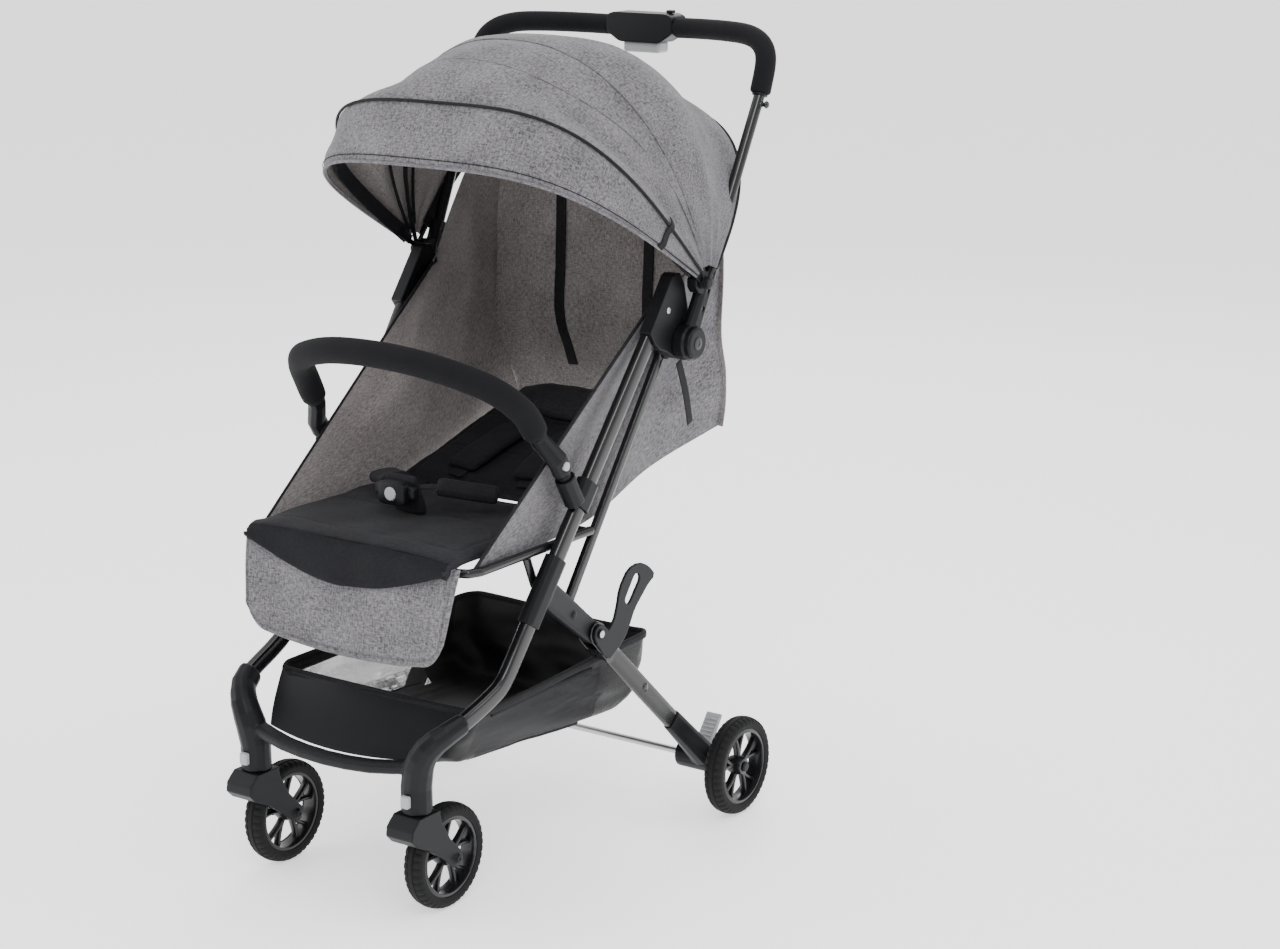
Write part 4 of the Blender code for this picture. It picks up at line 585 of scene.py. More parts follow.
def archPoints(angle, count, grow=0.0, least=0.022):
    """points along the arch, evenly spread, from the least reach off the pivot line"""
    halfWidth, length, power = archAt(angle)
    halfWidth, length = halfWidth + grow, length + grow
    lean = math.radians(angle)
    turn = 0.5 ** (1 / power)
    half = [((1 - (turn * k / 120) ** power) ** (1 / power), turn * k / 120) for k in range(120)]
    half += [(turn * k / 120, (1 - (turn * k / 120) ** power) ** (1 / power)) for k in range(120, -1, -1)]
    half += [(-w, o) for w, o in reversed(half[:-1])]
    fine = [Vector((w * halfWidth, canopy["pivot"].y + o * length * math.cos(lean), canopy["pivot"].z + o * length * math.sin(lean))) for w, o in half if o * length >= least]
    run = [0.0]
    for a, b in zip(fine, fine[1:]):
        run.append(run[-1] + (b - a).length)
    out, spot = [], 0
    for k in range(count):
        goal = run[-1] * k / (count - 1)
        while spot < len(run) - 2 and run[spot + 1] < goal:
            spot += 1
        out.append(fine[spot].lerp(fine[spot + 1], (goal - run[spot]) / max(run[spot + 1] - run[spot], 1e-9)))
    return out


def flatOf(rows):
    """the flat size that rows of points stand for: (width, length) and area"""
    m, n = len(rows), len(rows[0])
    area = 0.0
    for i in range(m - 1):
        for j in range(n - 1):
            a, b, c, d = rows[i][j], rows[i][j + 1], rows[i + 1][j + 1], rows[i + 1][j]
            area += ((c - a).cross(d - b)).length / 2
    wide = max(sum((b - a).length for a, b in zip(row, row[1:])) for row in rows)
    long = max(sum((rows[i + 1][j] - rows[i][j]).length for i in range(m - 1)) for j in range(n))
    return (wide, long), area


def canopyWrinkle(rows):
    def lift(i, j):
        p = rows[i][j]
        reach = math.hypot(p.y - canopy["pivot"].y, p.z - canopy["pivot"].z)
        angle = math.atan2(p.z - canopy["pivot"].z, p.y - canopy["pivot"].y)
        radial = 0.0022 * math.exp(-reach / 0.12) * math.sin(angle * 21 + 2.2 * noise.noise(p * 9))
        return radial + 0.0018 * noise.noise(p * 13) + 0.0007 * noise.noise(p * 45)
    return lift


def canopyRows(first, last, step, grow=0.0):
    count = round((first - last) / step) + 1
    return [archPoints(first + (last - first) * k / (count - 1), canopy["across"], grow) for k in range(count)]


def seamStrip(name, points, radius, material, body, blendTo=None):
    piece = bar(name, points, radius, radius, material, 8, roundEnd=0.0)
    if blendTo:
        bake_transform(piece)
    else:
        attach(piece, body)
    return piece


def edgeLift(i, total, depth=0.0012):
    return -depth * math.exp(-min(i, total - 1 - i) / 1.1)


frontFold = ("handle", "front_bow", at(0, 0.4225 - 0.155, 0.7365 - 0.230), at(0, 0.4225, 0.7365))
cosFront, sinFront = math.cos(math.radians(136)), math.sin(math.radians(136))
foldDepth = 0.337


def reshaped(piece, node):
    # each point of the bow keeps its direction from the pivot line and moves onto the rounder arch
    angle, halfWidth, length, power = solidArch[node]
    newWidth, newLength, newPower = archAt(angle)
    aim = Vector((0, math.cos(math.radians(angle)), math.sin(math.radians(angle))))
    for vert in piece.data.vertices:
        away = vert.co - canopy["pivot"]
        out = away.dot(aim)
        if out <= 0:
            continue
        wide = abs(vert.co.x)
        turn = math.atan2(out, wide)
        c, k = math.cos(turn), math.sin(turn)
        old = ((c / halfWidth) ** power + (k / length) ** power) ** (-1 / power)
        new = ((c / newWidth) ** newPower + (k / newLength) ** newPower) ** (-1 / newPower)
        vert.co += aim * out * (new / old - 1)
        vert.co.x *= new / old
    piece.data.update()
    return piece


for node in solidArch:
    reshaped(moulded(node, blackPlastic, 0.0008, 2), node)
frontFold = ("handle", "front_bow", canopy["pivot"] + Vector((0, sinFront, -cosFront)) * foldDepth, canopy["pivot"])
cosMid, sinMid = math.cos(math.radians(108)), math.sin(math.radians(108))
rearFold = ("handle", "mid_bow", canopy["pivot"] + Vector((0, sinMid, -cosMid)) * 0.256, canopy["pivot"])
for name, first, last, step, node, slot, body, blendTo in (
        ("canopy_brim_cloth", 150.5, 136, 0.9, "canopy_visor", "cloth_grey", "front_bow", None),
        ("canopy_front_cloth", 136, 108, 1.0, "canopy_top", "cloth_grey", None, frontFold),
        ("canopy_rear_cloth", 108, 51, 1.5, "canopy_rear", "cloth_grey", None, rearFold)):
    rows = canopyRows(first, last, step, 0.0022)
    wrinkles = canopyWrinkle(rows)
    total = len(rows)
    piece = sheetOf(name, rows, canopy["cloth"], [greyCloth, liningLitThrough], wrinkle=lambda i, j: wrinkles(i, j) * min(1.0, i / 2, (total - 1 - i) / 2) + edgeLift(i, total), outward=-1)
    size, area = flatOf(rows)
    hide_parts(node)
    if blendTo:
        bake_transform(piece)
    else:
        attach(piece, body)
stage("canopy cloth")

seamStrip("canopy_piping", archPoints(136, 181, 0.0033), 0.0020, webbing, "front_bow")
seamStrip("canopy_brim_binding", archPoints(150.3, 181, 0.0020), 0.0021, greyCloth, "front_bow")
seamStrip("canopy_brim_stitch", archPoints(148.9, 181, 0.0028), 0.0006, webbing, "front_bow")
seamStrip("canopy_mid_stitch", archPoints(108, 181, 0.0016), 0.0012, greyCloth, "mid_bow")
seamStrip("canopy_rear_binding", archPoints(51, 181, 0.0016), 0.0021, webbing, "handle")


def curvedSeam(sign):
    """the gusset seam: from the pivot up the side to the shoulder and over the crown"""
    table = [(0.040, 112.0), (0.132, 113.0), (0.215, 116.0), (0.294, 121.0), (0.330, 122.0)]
    out = []
    for k in range(91):
        share = 0.02 + 0.48 * k / 90
        angle = 118.0
        for _ in range(4):
            p = archPoints(angle, 201, 0.0017)[round(share * 200)]
            reach = math.hypot(p.y - canopy["pivot"].y, p.z - canopy["pivot"].z)
            for (r0, a0), (r1, a1) in zip(table, table[1:]):
                if reach <= r1 or r1 == table[-1][0]:
                    angle = a0 + (a1 - a0) * min(1.0, max(0.0, (reach - r0) / (r1 - r0)))
                    break
        out.append(p if sign > 0 else Vector((-p.x, p.y, p.z)))
    return out


near = curvedSeam(1)
seamStrip("canopy_gusset_seam", near + mirrorPoints(near[:-1])[::-1], 0.0010, greyCloth, None, frontFold)
tabLine = []
for angle in (150.6, 148, 145, 142, 139, 136, 133, 130):
    tabLine.append([p for p in archPoints(angle, 401, 0.0046) if p.x > 0 and math.hypot(p.y - canopy["pivot"].y, p.z - canopy["pivot"].z) > 0.118][0])
finish(bar("woven_tab", through(tabLine, 0.002), 0.0008, 0.0052, webbing, 12, Vector((1, 0, 0)), 6.0, 0.0005), "front_bow", "cloth_black")
for name, angle, grow, wide, material, body, blendTo in (
        ("front_bow_sleeve", 144.0, -0.0052, 0.0105, blackCloth, "front_bow", None), ("rear_bow_sleeve", 53.5, -0.0058, 0.0100, blackCloth, "handle", None),
        ("inner_binding", 123.0, -0.0034, 0.0028, blackCloth, None, frontFold), ("crown_binding", 96.0, -0.0034, 0.0028, blackCloth, None, rearFold)):
    lean = math.radians(angle)
    piece = bar(name, archPoints(angle, 161, grow, 0.034), wide, 0.0007, material, 10, Vector((0, math.sin(lean), -math.cos(lean))), 4.0, 0.0)
    if blendTo:
        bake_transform(piece)
    else:
        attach(piece, body)
for side, sign in (("l", 1), ("r", -1)):
    for bow, angle, layer in (("front_bow", 146.0, 0.2356),):
        clipAt = at(sign * (layer - 0.0040), 0.4225 + 0.040 * math.cos(math.radians(angle)), 0.7365 + 0.040 * math.sin(math.radians(angle)))
        aim = Vector((0, math.cos(math.radians(angle)), math.sin(math.radians(angle))))
        finish(bar("bow_end_" + bow[:-4] + "_" + side, [clipAt - aim * 0.012, clipAt + aim * 0.014], 0.0016, 0.0068, blackPlastic, 16, Vector((1, 0, 0)), 5.0, 0.0008), bow, "plastic_black")
stage("canopy seams")

# ---- padded pieces

def inflate(piece, voxel=0.005, pressure=4.0, cap=0.007, frames=18):
    """stuffing: the shape is gridded, blown up a little as cloth, and each point's travel is capped"""
    remesh = piece.modifiers.new("grid", "REMESH")
    remesh.mode = "VOXEL"
    remesh.voxel_size = voxel
    applyAll(piece)
    rest = [v.co.copy() for v in piece.data.vertices]
    clothing = piece.modifiers.new("stuffing", "CLOTH")
    clothing.settings.use_pressure = True
    clothing.settings.uniform_pressure_force = pressure
    clothing.settings.effector_weights.gravity = 0
    clothing.settings.quality = 4
    clothing.settings.tension_stiffness = 12
    clothing.settings.compression_stiffness = 12
    clothing.settings.bending_stiffness = 0.4
    clothing.point_cache.frame_start = 1
    clothing.point_cache.frame_end = frames
    for f in range(1, frames + 1):
        bpy.context.scene.frame_set(f)
    applyAll(piece)
    bpy.context.scene.frame_set(1)
    places = []
    for vert, home in zip(piece.data.vertices, rest):
        travel = vert.co - home
        places.append(home + travel * min(1.0, cap / max(travel.length, 1e-9)))
    piece.data.vertices.foreach_set("co", [value for place in places for value in place])
    soften = piece.modifiers.new("soften", "SMOOTH")
    soften.iterations = 4
    finer = piece.modifiers.new("finer", "SUBSURF")
    finer.levels = finer.render_levels = 1
    applyAll(piece)
    piece.data.polygons.foreach_set("use_smooth", [True] * len(piece.data.polygons))
    return piece


def meshPoints(mesh):
    seamShade = mesh.attributes.get("seam") or mesh.attributes.new("seam", "FLOAT", "POINT")
    values = [0.0] * len(mesh.vertices)
    seamShade.data.foreach_get("value", values)
    return [vert.co.copy() for vert in mesh.vertices], [vert.normal.copy() for vert in mesh.vertices], values


def put(mesh, places, seamShades):
    mesh.vertices.foreach_set("co", [value for place in places for value in place])
    mesh.attributes["seam"].data.foreach_set("value", seamShades)
    mesh.update()


def carve(piece, lines, width, depth, side=None):
    """a sewn channel: points near the line go in, and are marked for the thread's shadow"""
    tree = KDTree(sum(len(line) for line in lines))
    count = 0
    for line in lines:
        for p in line:
            tree.insert(p, count)
            count += 1
    tree.balance()
    mesh = piece.data
    places, normals, seamShades = meshPoints(mesh)
    for i, place in enumerate(places):
        if side and normals[i].dot(side) < 0.1:
            continue
        gap = tree.find(place)[2]
        if gap < width * 3:
            share = math.exp(-(gap / width) ** 2)
            place -= normals[i] * depth * share
            # painted shade in the sewn channel
            seamShades[i] = max(seamShades[i], share * 0.8)
    put(mesh, places, seamShades)
    return piece


def ripple(piece, size, scale):
    places, normals, seamShades = meshPoints(piece.data)
    for place, normal in zip(places, normals):
        place += normal * size * noise.noise(place * scale)
    put(piece.data, places, seamShades)
    return piece


# seat pad: crowned, black, its front lip shaped like a crescent
seat = {"half": 0.1605, "front": 0.0040, "low": 0.4395, "top": 0.4612, "across": 97}


def seatRing(share):
    x = seat["half"] * math.sin(share * math.pi / 2 * 0.92) / math.sin(math.pi / 2 * 0.92)
    share = x / seat["half"]
    edge = 1.0 - abs(share) ** 6
    front = seat["front"]
    drop = 0.046 * (1 - share ** 2)
    top = seat["top"] - 0.0055 + 0.0055 * edge
    low = seat["low"] + 0.001 * (1 - edge)
    end = top - 0.016 - drop * 0.95
    key = [(front - 0.0292, end - 0.0015), (front - 0.0314, end + 0.0012), (front - 0.0306, end + 0.006), (front - 0.0268, top - 0.0130), (front - 0.0215, top - 0.0058), (front - 0.0150, top - 0.0024), (front - 0.0060, top - 0.0004),
           (front + 0.0060, top + 0.0006), (front + 0.0300, top + 0.0004), (front + 0.110, top + 0.002 * edge), (0.180, top + 0.001), (0.2180, top), (0.2345, top - 0.0030),
           (0.2380, top - 0.0090), (0.2370, low + 0.004), (0.2330, low), (0.2200, low), (0.1500, low), (front + 0.0300, low), (front + 0.0040, low),
           (front - 0.0100, low), (front - 0.0185, low - 0.004), (front - 0.0245, min(low - 0.0080, max(end + 0.004, low - 0.0160))), (front - 0.0272, end + 0.0005)]
    squeeze = math.sqrt(max(0.0, 1 - max(0.0, (abs(x) / seat["half"] - 0.90) / 0.10) ** 2 * 0.75))
    middle = (top + low) / 2
    line = through([at(x, y, middle + (z - middle) * (squeeze if y > front - 0.004 else 1.0)) for y, z in key], 0.002)
    picks = []
    for k in range(150):
        spot = k / 149 * (len(line) - 1)
        i = min(int(spot), len(line) - 2)
        picks.append(line[i].lerp(line[i + 1], spot - i))
    return picks


seatPad = loft("seat_cushion", [seatRing(k / (seat["across"] - 1) * 2 - 1) for k in range(seat["across"])], [charcoalCloth, blackCloth], turn=70)
for face in seatPad.data.polygons:
    face.material_index = int(face.center.y < at(0, -0.0148, 0).y)
ripple(seatPad, 0.0020, 22)
edges = [[at(sx * 0.147, 0.02 + 0.20 * k / 60, 0.460) for k in range(61)] for sx in (1, -1)]
edges.append([at(-0.15 + 0.30 * k / 90, 0.0165, 0.4605) for k in range(91)])
edges.append([at(-0.147 + 0.294 * k / 90, 0.1250, 0.4640) for k in range(91)])
carve(seatPad, edges, 0.0024, 0.0018, Vector((0, 0, 1)))
finish(seatPad, "front_frame", "cloth_black", "seat_pad")
pipingLine = [at(0.158 * k / 40, seat["front"] - 0.0190, seat["top"] - 0.0038 - 0.0055 * abs(k / 40) ** 6) for k in range(-40, 41)]
finish(bar("seat_front_piping", pipingLine, 0.0016, 0.0016, webbing, 10, Vector((0, 1, 0)), roundEnd=0.0006), "front_frame", "cloth_black")
calf = {"half": 0.172, "lowHalf": 0.160, "top": (-0.0080, 0.4435), "thick": 0.0100, "across": 120, "down": 46}


def calfAt(share, t, side):
    # share runs across, t from the seat's front tube down to the hem, side 1 is the face in front
    wide = abs(share)
    corner = max(0.0, wide - 0.80) / 0.20
    lowZ = 0.3085 + 0.017 * wide ** 2 + 0.030 * corner ** 2.4
    lowY = -0.0240 - 0.004 * wide
    x = (calf["half"] * (1 - t) + calf["lowHalf"] * t) * share
    z = calf["top"][1] + (lowZ - calf["top"][1]) * t
    belly = 0.0035 * (1 - wide ** 2) * math.sin(math.pi * t)
    y = calf["top"][0] + (lowY - calf["top"][0]) * t - belly
    rim = min(1.0, (1 - t) * 9, (1 - wide) * 14, 0.12 + t * 3.2)
    fat = calf["thick"] / 2 * math.sqrt(max(0.0, 1 - (1 - rim) ** 2)) + 0.0004
    hem = math.exp(-(((1 - t) * 0.11 - 0.0075) / 0.0016) ** 2) + math.exp(-(((1 - wide) * 0.165 - 0.0065) / 0.0016) ** 2)
    fold = 0.0011 * math.sin(10 * share + 4 * t) * math.sin(math.pi * t) + 0.0014 * noise.noise(Vector((share * 3, t * 2.4, 1.7))) * math.sin(math.pi * min(1, t * 1.3))
    # the hem value presses the hem in and, scaled, paints shade along it through the seam attribute
    return at(x, y - side * (fat - 0.0010 * min(1.0, hem)) + fold, z), min(1.0, hem) * 0.7


build = bmesh.new()
weave = build.verts.layers.float_vector.new("weave")
seamShade = build.verts.layers.float.new("seam")
faces = []
for side in (1, -1):
    grid = []
    for i in range(calf["down"] + 1):
        row = []
        for j in range(calf["across"] + 1):
            share = math.sin(math.pi * (j / calf["across"] - 0.5) * 0.9) / math.sin(math.pi * 0.45)
            spot, hem = calfAt(share, math.sin(math.pi / 2 * i / calf["down"]) ** 0.9 if i else 0.0, side)
            vert = build.verts.new(spot)
            vert[weave] = (spot.x, spot.z, 0)
            # painted hem shade on the front face only
            vert[seamShade] = hem if side > 0 else 0.0
            row.append(vert)
        grid.append(row)
    faces.append(grid)
for side, grid in enumerate(faces):
    for i in range(calf["down"]):
        for j in range(calf["across"]):
            quad = (grid[i][j], grid[i + 1][j], grid[i + 1][j + 1], grid[i][j + 1])
            build.faces.new(quad if side == 0 else quad[::-1])
front, rear = faces
border = [(0, j) for j in range(calf["across"])] + [(i, calf["across"]) for i in range(calf["down"])]
border += [(calf["down"], j) for j in range(calf["across"], 0, -1)] + [(i, 0) for i in range(calf["down"], 0, -1)]
for (a, b), (c, d) in zip(border, border[1:] + border[:1]):
    build.faces.new((front[a][b], front[c][d], rear[c][d], rear[a][b]))
bmesh.ops.recalc_face_normals(build, faces=build.faces)
calfPanel = makeObject("calf_panel", build, greyCloth, 80)
finish(calfPanel, "front_frame", "cloth_grey", "calf_rest")
back = copyOf("back_cushion", "backrest", blackPadCloth)
inflate(back, 0.0048, 3.0, 0.0045)
ripple(back, 0.0020, 18)
hinge = at(0, 0.264, 0.4525)
backEnd = at(0, 0.548, 0.530)
backAim = (backEnd - hinge).normalized()
backUp = Vector((0, -backAim.z, backAim.y))
lines = []
for share in (0.30, 0.62):
    lines.append([hinge + backAim * (0.294 * share) + backUp * 0.012 + Vector((-0.14 + 0.28 * k / 80, 0, 0)) for k in range(81)])
for sx in (1, -1):
    lines.append([hinge + backAim * (0.294 * k / 80) + backUp * 0.012 + Vector((sx * 0.128, 0, 0)) for k in range(81)])
carve(back, lines, 0.0034, 0.0026, backUp)
finish(back, "back", "cloth_black", "backrest")
head = copyOf("head_cushion", "head_pad", charcoalPadCloth)
inflate(head, 0.0042, 4.0, 0.0045)
ripple(head, 0.0022, 26)
centre = hinge + backAim * 0.225 + backUp * 0.02
rim = []
for k in range(160):
    turn = 2 * math.pi * k / 160
    c, s = math.cos(turn), math.sin(turn)
    rim.append(centre + Vector((0.088 * math.copysign(abs(c) ** 0.6, c), 0, 0)) + backAim * 0.027 * math.copysign(abs(s) ** 0.6, s))
carve(head, [rim], 0.0030, 0.0022, backUp)
finish(head, "back", "cloth_black", "head_pad")
stage("cushions")

# ---- side panels and the curtain at the back

panel = {"steps": 42, "cloth": 0.0018, "fold": 0.16}
foldStart = at(0, 0.402, 0.730)
curtainFold = ("front_frame", "handle", foldStart, foldStart + Vector((0, 0.552, 0.834)) * panel["fold"])


def sidePanel(sign):
    # from the seat's edge up to the pivot and the rear bow, and back to the curtain
    low = through([at(0.1722, 0.018, 0.4370), at(0.1640, 0.150, 0.4340), at(0.1550, 0.290, 0.4420), at(0.1530, 0.420, 0.4800), at(0.1700, 0.560, 0.5120)], 0.004)
    high = through([at(0.1890, 0.395, 0.7260), at(0.2050, 0.4300, 0.7480), at(0.2150, 0.4760, 0.8010), at(0.2150, 0.5260, 0.8640), at(0.1880, 0.5520, 0.8945)], 0.004)
    far = through([at(0.1700, 0.560, 0.5120), at(0.1880, 0.5470, 0.5900), at(0.1890, 0.5330, 0.6500), at(0.1895, 0.5370, 0.7100), at(0.1895, 0.5430, 0.7900), at(0.1880, 0.5520, 0.8945)], 0.004)
    rows = []
    n = panel["steps"]

    def along(line, t):
        spot = t * (len(line) - 1)
        k = min(int(spot), len(line) - 2)
        return line[k].lerp(line[k + 1], spot - k)
    for i in range(n + 1):
        share = i / n
        a, b = along(low, share), along(high, share)
        line = []
        for k in range(n + 1):
            t = k / n
            p = a.lerp(b, t)
            q = along(far, t)
            pull = q - low[-1].lerp(high[-1], t)
            p += pull * share ** 2.5
            swell = math.sin(math.pi * t) * math.sin(math.pi * min(1.0, share * 1.02))
            p.x -= 0.016 * math.sin(math.pi * t) * min(1.0, share * (1 - share) * 5)
            p.x += 0.0036 * math.sin(9 * share + 5 * t) * swell
            p.x += 0.0034 * noise.noise(Vector((share * 4, t * 5, 3.3))) * swell
            line.append(Vector((sign * p.x, p.y, p.z)))
        rows.append(line)
    return rows


for side, sign in (("l", 1), ("r", -1)):
    rows = sidePanel(sign)
    piece = sheetOf("side_cloth_" + side, rows, panel["cloth"], [greyCloth, liningLitThrough], outward=-sign)
    size, area = flatOf(rows)
    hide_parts("side_panel_" + side)
    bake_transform(piece)
    front = [p + Vector((0, -0.0005, 0)) for p in rows[0]]
    binding = bar("side_binding_" + side, front, 0.0019, 0.0026, webbing, 10, roundEnd=0.0005)
    finish(binding, "front_frame", "cloth_black")

curtain = {"levels": [(0.850, 0.5500), (0.790, 0.5390), (0.706, 0.5330), (0.640, 0.5290), (0.590, 0.5450), (0.548, 0.5580), (0.512, 0.5600)], "across": 64, "down": 60}


def curtainRows():
    lean = math.radians(51)
    key = []
    steps = [k / curtain["across"] * 2 - 1 for k in range(curtain["across"] + 1)]
    top = []
    for share in steps:
        x = 0.1940 * share
        reach = 0.2608 * (1 - abs(x / 0.2418) ** 2.9) ** (1 / 2.9) - 0.0034
        top.append(Vector((x, canopy["pivot"].y + reach * math.cos(lean), canopy["pivot"].z + reach * math.sin(lean))))
    key.append(top)
    for z, y in curtain["levels"]:
        half = 0.1940 + 0.002 * math.sin(z * 30) - 0.016 * max(0.0, 0.580 - z) / 0.068
        key.append([at(half * share, y + 0.010 * (1 - share ** 4), min(z, top[0].z - 0.02) if z > 0.89 else z) for share in steps])
    columns = [through([row[j] for row in key], 0.0005) for j in range(len(steps))]
    rows = []
    for i in range(curtain["down"] + 1):
        t = i / curtain["down"]
        row = []
        for j, column in enumerate(columns):
            p = column[min(len(column) - 1, round(t * (len(column) - 1)))].copy()
            p.y += 0.0032 * math.sin(7 * steps[j] + 3 * math.sin(4 * t)) * math.sin(math.pi * t) + 0.004 * noise.noise(Vector((steps[j] * 3, t * 4, 8.1))) * math.sin(math.pi * t)
            row.append(p)
        rows.append(row)
    return rows


rows = curtainRows()
piece = sheetOf("back_curtain", rows, panel["cloth"], [greyCloth, liningLitThrough])
size, area = flatOf(rows)
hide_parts("rear_curtain")
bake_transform(piece)
stage("side cloth and curtain")

# ---- straps on the inside of the back, and the harness

def strap(name, points, wide, body, across, thick=0.0011, blendTo=None, material=None):
    piece = bar(name, through(points, 0.006), wide / 2, thick, material or webbing, 12, across, 6.0, 0.0004)
    if blendTo:
        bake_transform(piece)
    else:
        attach(piece, body)
    return piece


for name, topX, lowX in (("back_strap_r", -0.088, -0.070), ("back_strap_l", 0.062, 0.078)):
    points = []
    for i in range(4, 53, 4):
        t = i / curtain["down"]
        x = topX + (lowX - topX) * t
        j = round((x / 0.1865 + 1) / 2 * curtain["across"])
        p = rows[i][j].copy()
        points.append(Vector((x, p.y - 0.0036, p.z)))
    strap(name, points, 0.016, None, Vector((1, 0, 0)), blendTo=curtainFold)
for sx in (1, -1):
    side = "l" if sx > 0 else "r"
    top = hinge + backAim * 0.170 + backUp * 0.0165 + Vector((sx * 0.045, 0, 0))
    mid = hinge + backAim * 0.075 + backUp * 0.0185 + Vector((sx * 0.050, 0, 0))
    low = hinge + backAim * 0.010 + backUp * 0.0160 + Vector((sx * 0.058, 0, 0))
    strap("shoulder_strap_" + side, [top, mid, low], 0.026, "back", Vector((1, 0, 0)))
    pad = bar("shoulder_pad_" + side, through([top.lerp(mid, 0.25) + backUp * 0.006, mid + backUp * 0.0075, low.lerp(mid, 0.2) + backUp * 0.006], 0.005), 0.0245, 0.0062, blackPadCloth, 24, Vector((1, 0, 0)), 3.0, 0.005)
    finish(ripple(pad, 0.0012, 40), "back", "cloth_black")
    lap = [at(0.0, 0.104, 0.4975), at(sx * 0.045, 0.128, 0.4990), at(sx * 0.095, 0.168, 0.4870), at(sx * 0.122, 0.208, 0.4740)]
    strap("lap_strap_" + side, lap, 0.024, "front_frame", Vector((0, 1, 0)))
    lapPad = bar("lap_pad_" + side, through([lap[0].lerp(lap[1], 0.75) + Vector((0, 0, 0.001)), lap[2]], 0.005), 0.0190, 0.0085, blackPadCloth, 24, Vector((0, 1, 0)), 3.0, 0.005)
    finish(ripple(lapPad, 0.0014, 36), "front_frame", "cloth_black")
harness = {"base": 0.4635}
crotch = bar("crotch_pad", through([at(0, 0.110, 0.4660), at(0, 0.100, 0.4920), at(0, 0.0905, 0.5150)], 0.004), 0.0245, 0.0075, blackPadCloth, 28, Vector((1, 0, 0)), 3.4, 0.004)
finish(ripple(crotch, 0.0012, 40), "front_frame", "cloth_black", "harness")


def softBox(name, centre, half, round_, material, power=5.0, lean=None):
    """a block with rounded edges, thin along Y"""
    rings = []
    for t, size in ((-1.0, 0.80), (-0.92, 0.93), (-0.75, 1.0), (0.75, 1.0), (0.92, 0.93), (1.0, 0.80)):
        rings.append(oval(centre + Vector((0, half[1] * t, 0)), Vector((1, 0, 0)), Vector((0, 0, 1)), half[0] - round_ * (1 - size) * 5, half[2] - round_ * (1 - size) * 5, 40, power))
    return loft(name, rings, material, turn=60)


parts = [softBox("buckle_case", at(0, 0.0795, 0.4965), (0.0215, 0.0095, 0.0150), 0.0012, blackPlastic)]
for sx in (1, -1):
    parts.append(softBox("buckle_tongue", at(sx * 0.0240, 0.0830, 0.4985), (0.0075, 0.0055, 0.0080), 0.0010, blackPlastic))
finish(joined("buckle_body", parts), "front_frame", "plastic_black")
stage("harness")

# ---- basket

bag = {"corner": 0.030, "wall": 0.0016, "profile": [(0.030, 0.360, 0.181, 0.148, 0.090), (0.010, 0.385, 0.182, 0.1475, 0.120), (0.0025, 0.398, 0.188, 0.156, 0.140), (0.004, 0.405, 0.215, 0.190, 0.155), (0.012, 0.4125, 0.2340, 0.2230, 0.1580), (0.020, 0.420, 0.252, 0.256, 0.160)]}


def bagRing(y0, y1, zFront, zRear, half, inset, perCorner=10, perSide=16):
    corner = bag["corner"]
    midY, halfY, halfX = (y0 + y1) / 2, (y1 - y0) / 2 - inset, half - inset
    key = []
    for cx, cy, start in ((1, 1, 0), (-1, 1, 90), (-1, -1, 180), (1, -1, 270)):
        for k in range(perCorner + 1):
            turn = math.radians(start + 90 * k / perCorner)
            key.append((cx * (halfX - corner) + corner * math.cos(turn), cy * (halfY - corner) + corner * math.sin(turn)))
    out = []
    for i, (x, y) in enumerate(key):
        nx, ny = key[(i + 1) % len(key)]
        pieces = perSide if (i + 1) % (perCorner + 1) == 0 else 1
        for k in range(pieces):
            px, py = x + (nx - x) * k / pieces, y + (ny - y) * k / pieces
            share = (py + halfY) / (2 * halfY)
            out.append(at(px, midY + py, zFront + (zRear - zFront) * share))
    return out


def bagRows(inset):
    key = [bagRing(*size, inset) for size in bag["profile"]]
    columns = [through([row[j] for row in key], 0.001) for j in range(len(key[0]))]
    down = 34
    rows = []
    for i in range(down + 1):
        row = [columns[j][round(i / down * (len(columns[j]) - 1))].copy() for j in range(len(columns))]
        row.append(row[0].copy())
        rows.append(row)
    return rows


def bagSlump(rows):
    for i, row in enumerate(rows):
        t = i / (len(rows) - 1)
        for j, p in enumerate(row):
            around = 2 * math.pi * (j % (len(row) - 1)) / (len(row) - 1)
            out = Vector((p.x, p.y - at(0, 0.21, 0).y, 0)).normalized()
            size = math.sin(math.pi * min(1, t * 1.05)) * 1.0
            shift = 0.0075 * noise.noise(Vector((math.cos(around) * 2.4, math.sin(around) * 2.4, t * 3))) + 0.0034 * math.sin(around * 9 + 6 * noise.noise(Vector((math.cos(around), math.sin(around), t * 2)))) + 0.0030 * noise.noise(Vector((p.x * 30, p.y * 30, p.z * 60)))
            p += out * shift * size * 0.8
            if t > 0.9:
                p.z -= 0.0060 * math.sin(2 * around) ** 2 * (t - 0.9) * 10
    return rows


outer = bagSlump(bagRows(0.0))
inner = [[p - Vector((p.x, p.y - at(0, 0.21, 0).y, 0)).normalized() * bag["wall"] + Vector((0, 0, bag["wall"] * max(0.0, 1 - i / 6))) for p in row] for i, row in enumerate(outer)]
build = bmesh.new()
weave = build.verts.layers.float_vector.new("weave")
grids = []
for grid in (outer, inner):
    made = []
    for i, row in enumerate(grid):
        line, run = [], 0.0
        for j, p in enumerate(row[:-1]):
            if j:
                run += (p - row[j - 1]).length
            vert = build.verts.new(p)
            vert[weave] = (i * 0.0065, run, 0)
            line.append(vert)
        made.append(line)
    grids.append(made)
n = len(grids[0][0])
netIndex = 1
for which, grid in enumerate(grids):
    for i in range(len(grid) - 1):
        for j in range(n):
            k = (j + 1) % n
            quad = (grid[i][j], grid[i][k], grid[i + 1][k], grid[i + 1][j])
            face = build.faces.new(quad if which == 0 else quad[::-1])
            middle = face.calc_center_median()
            t = i / (len(grid) - 2)
            side = abs(middle.x) > 0.125 and at(0, 0.045, 0).y < middle.y < at(0, 0.300, 0).y and 0.30 < t < 0.90
            face.material_index = netIndex if side else 0
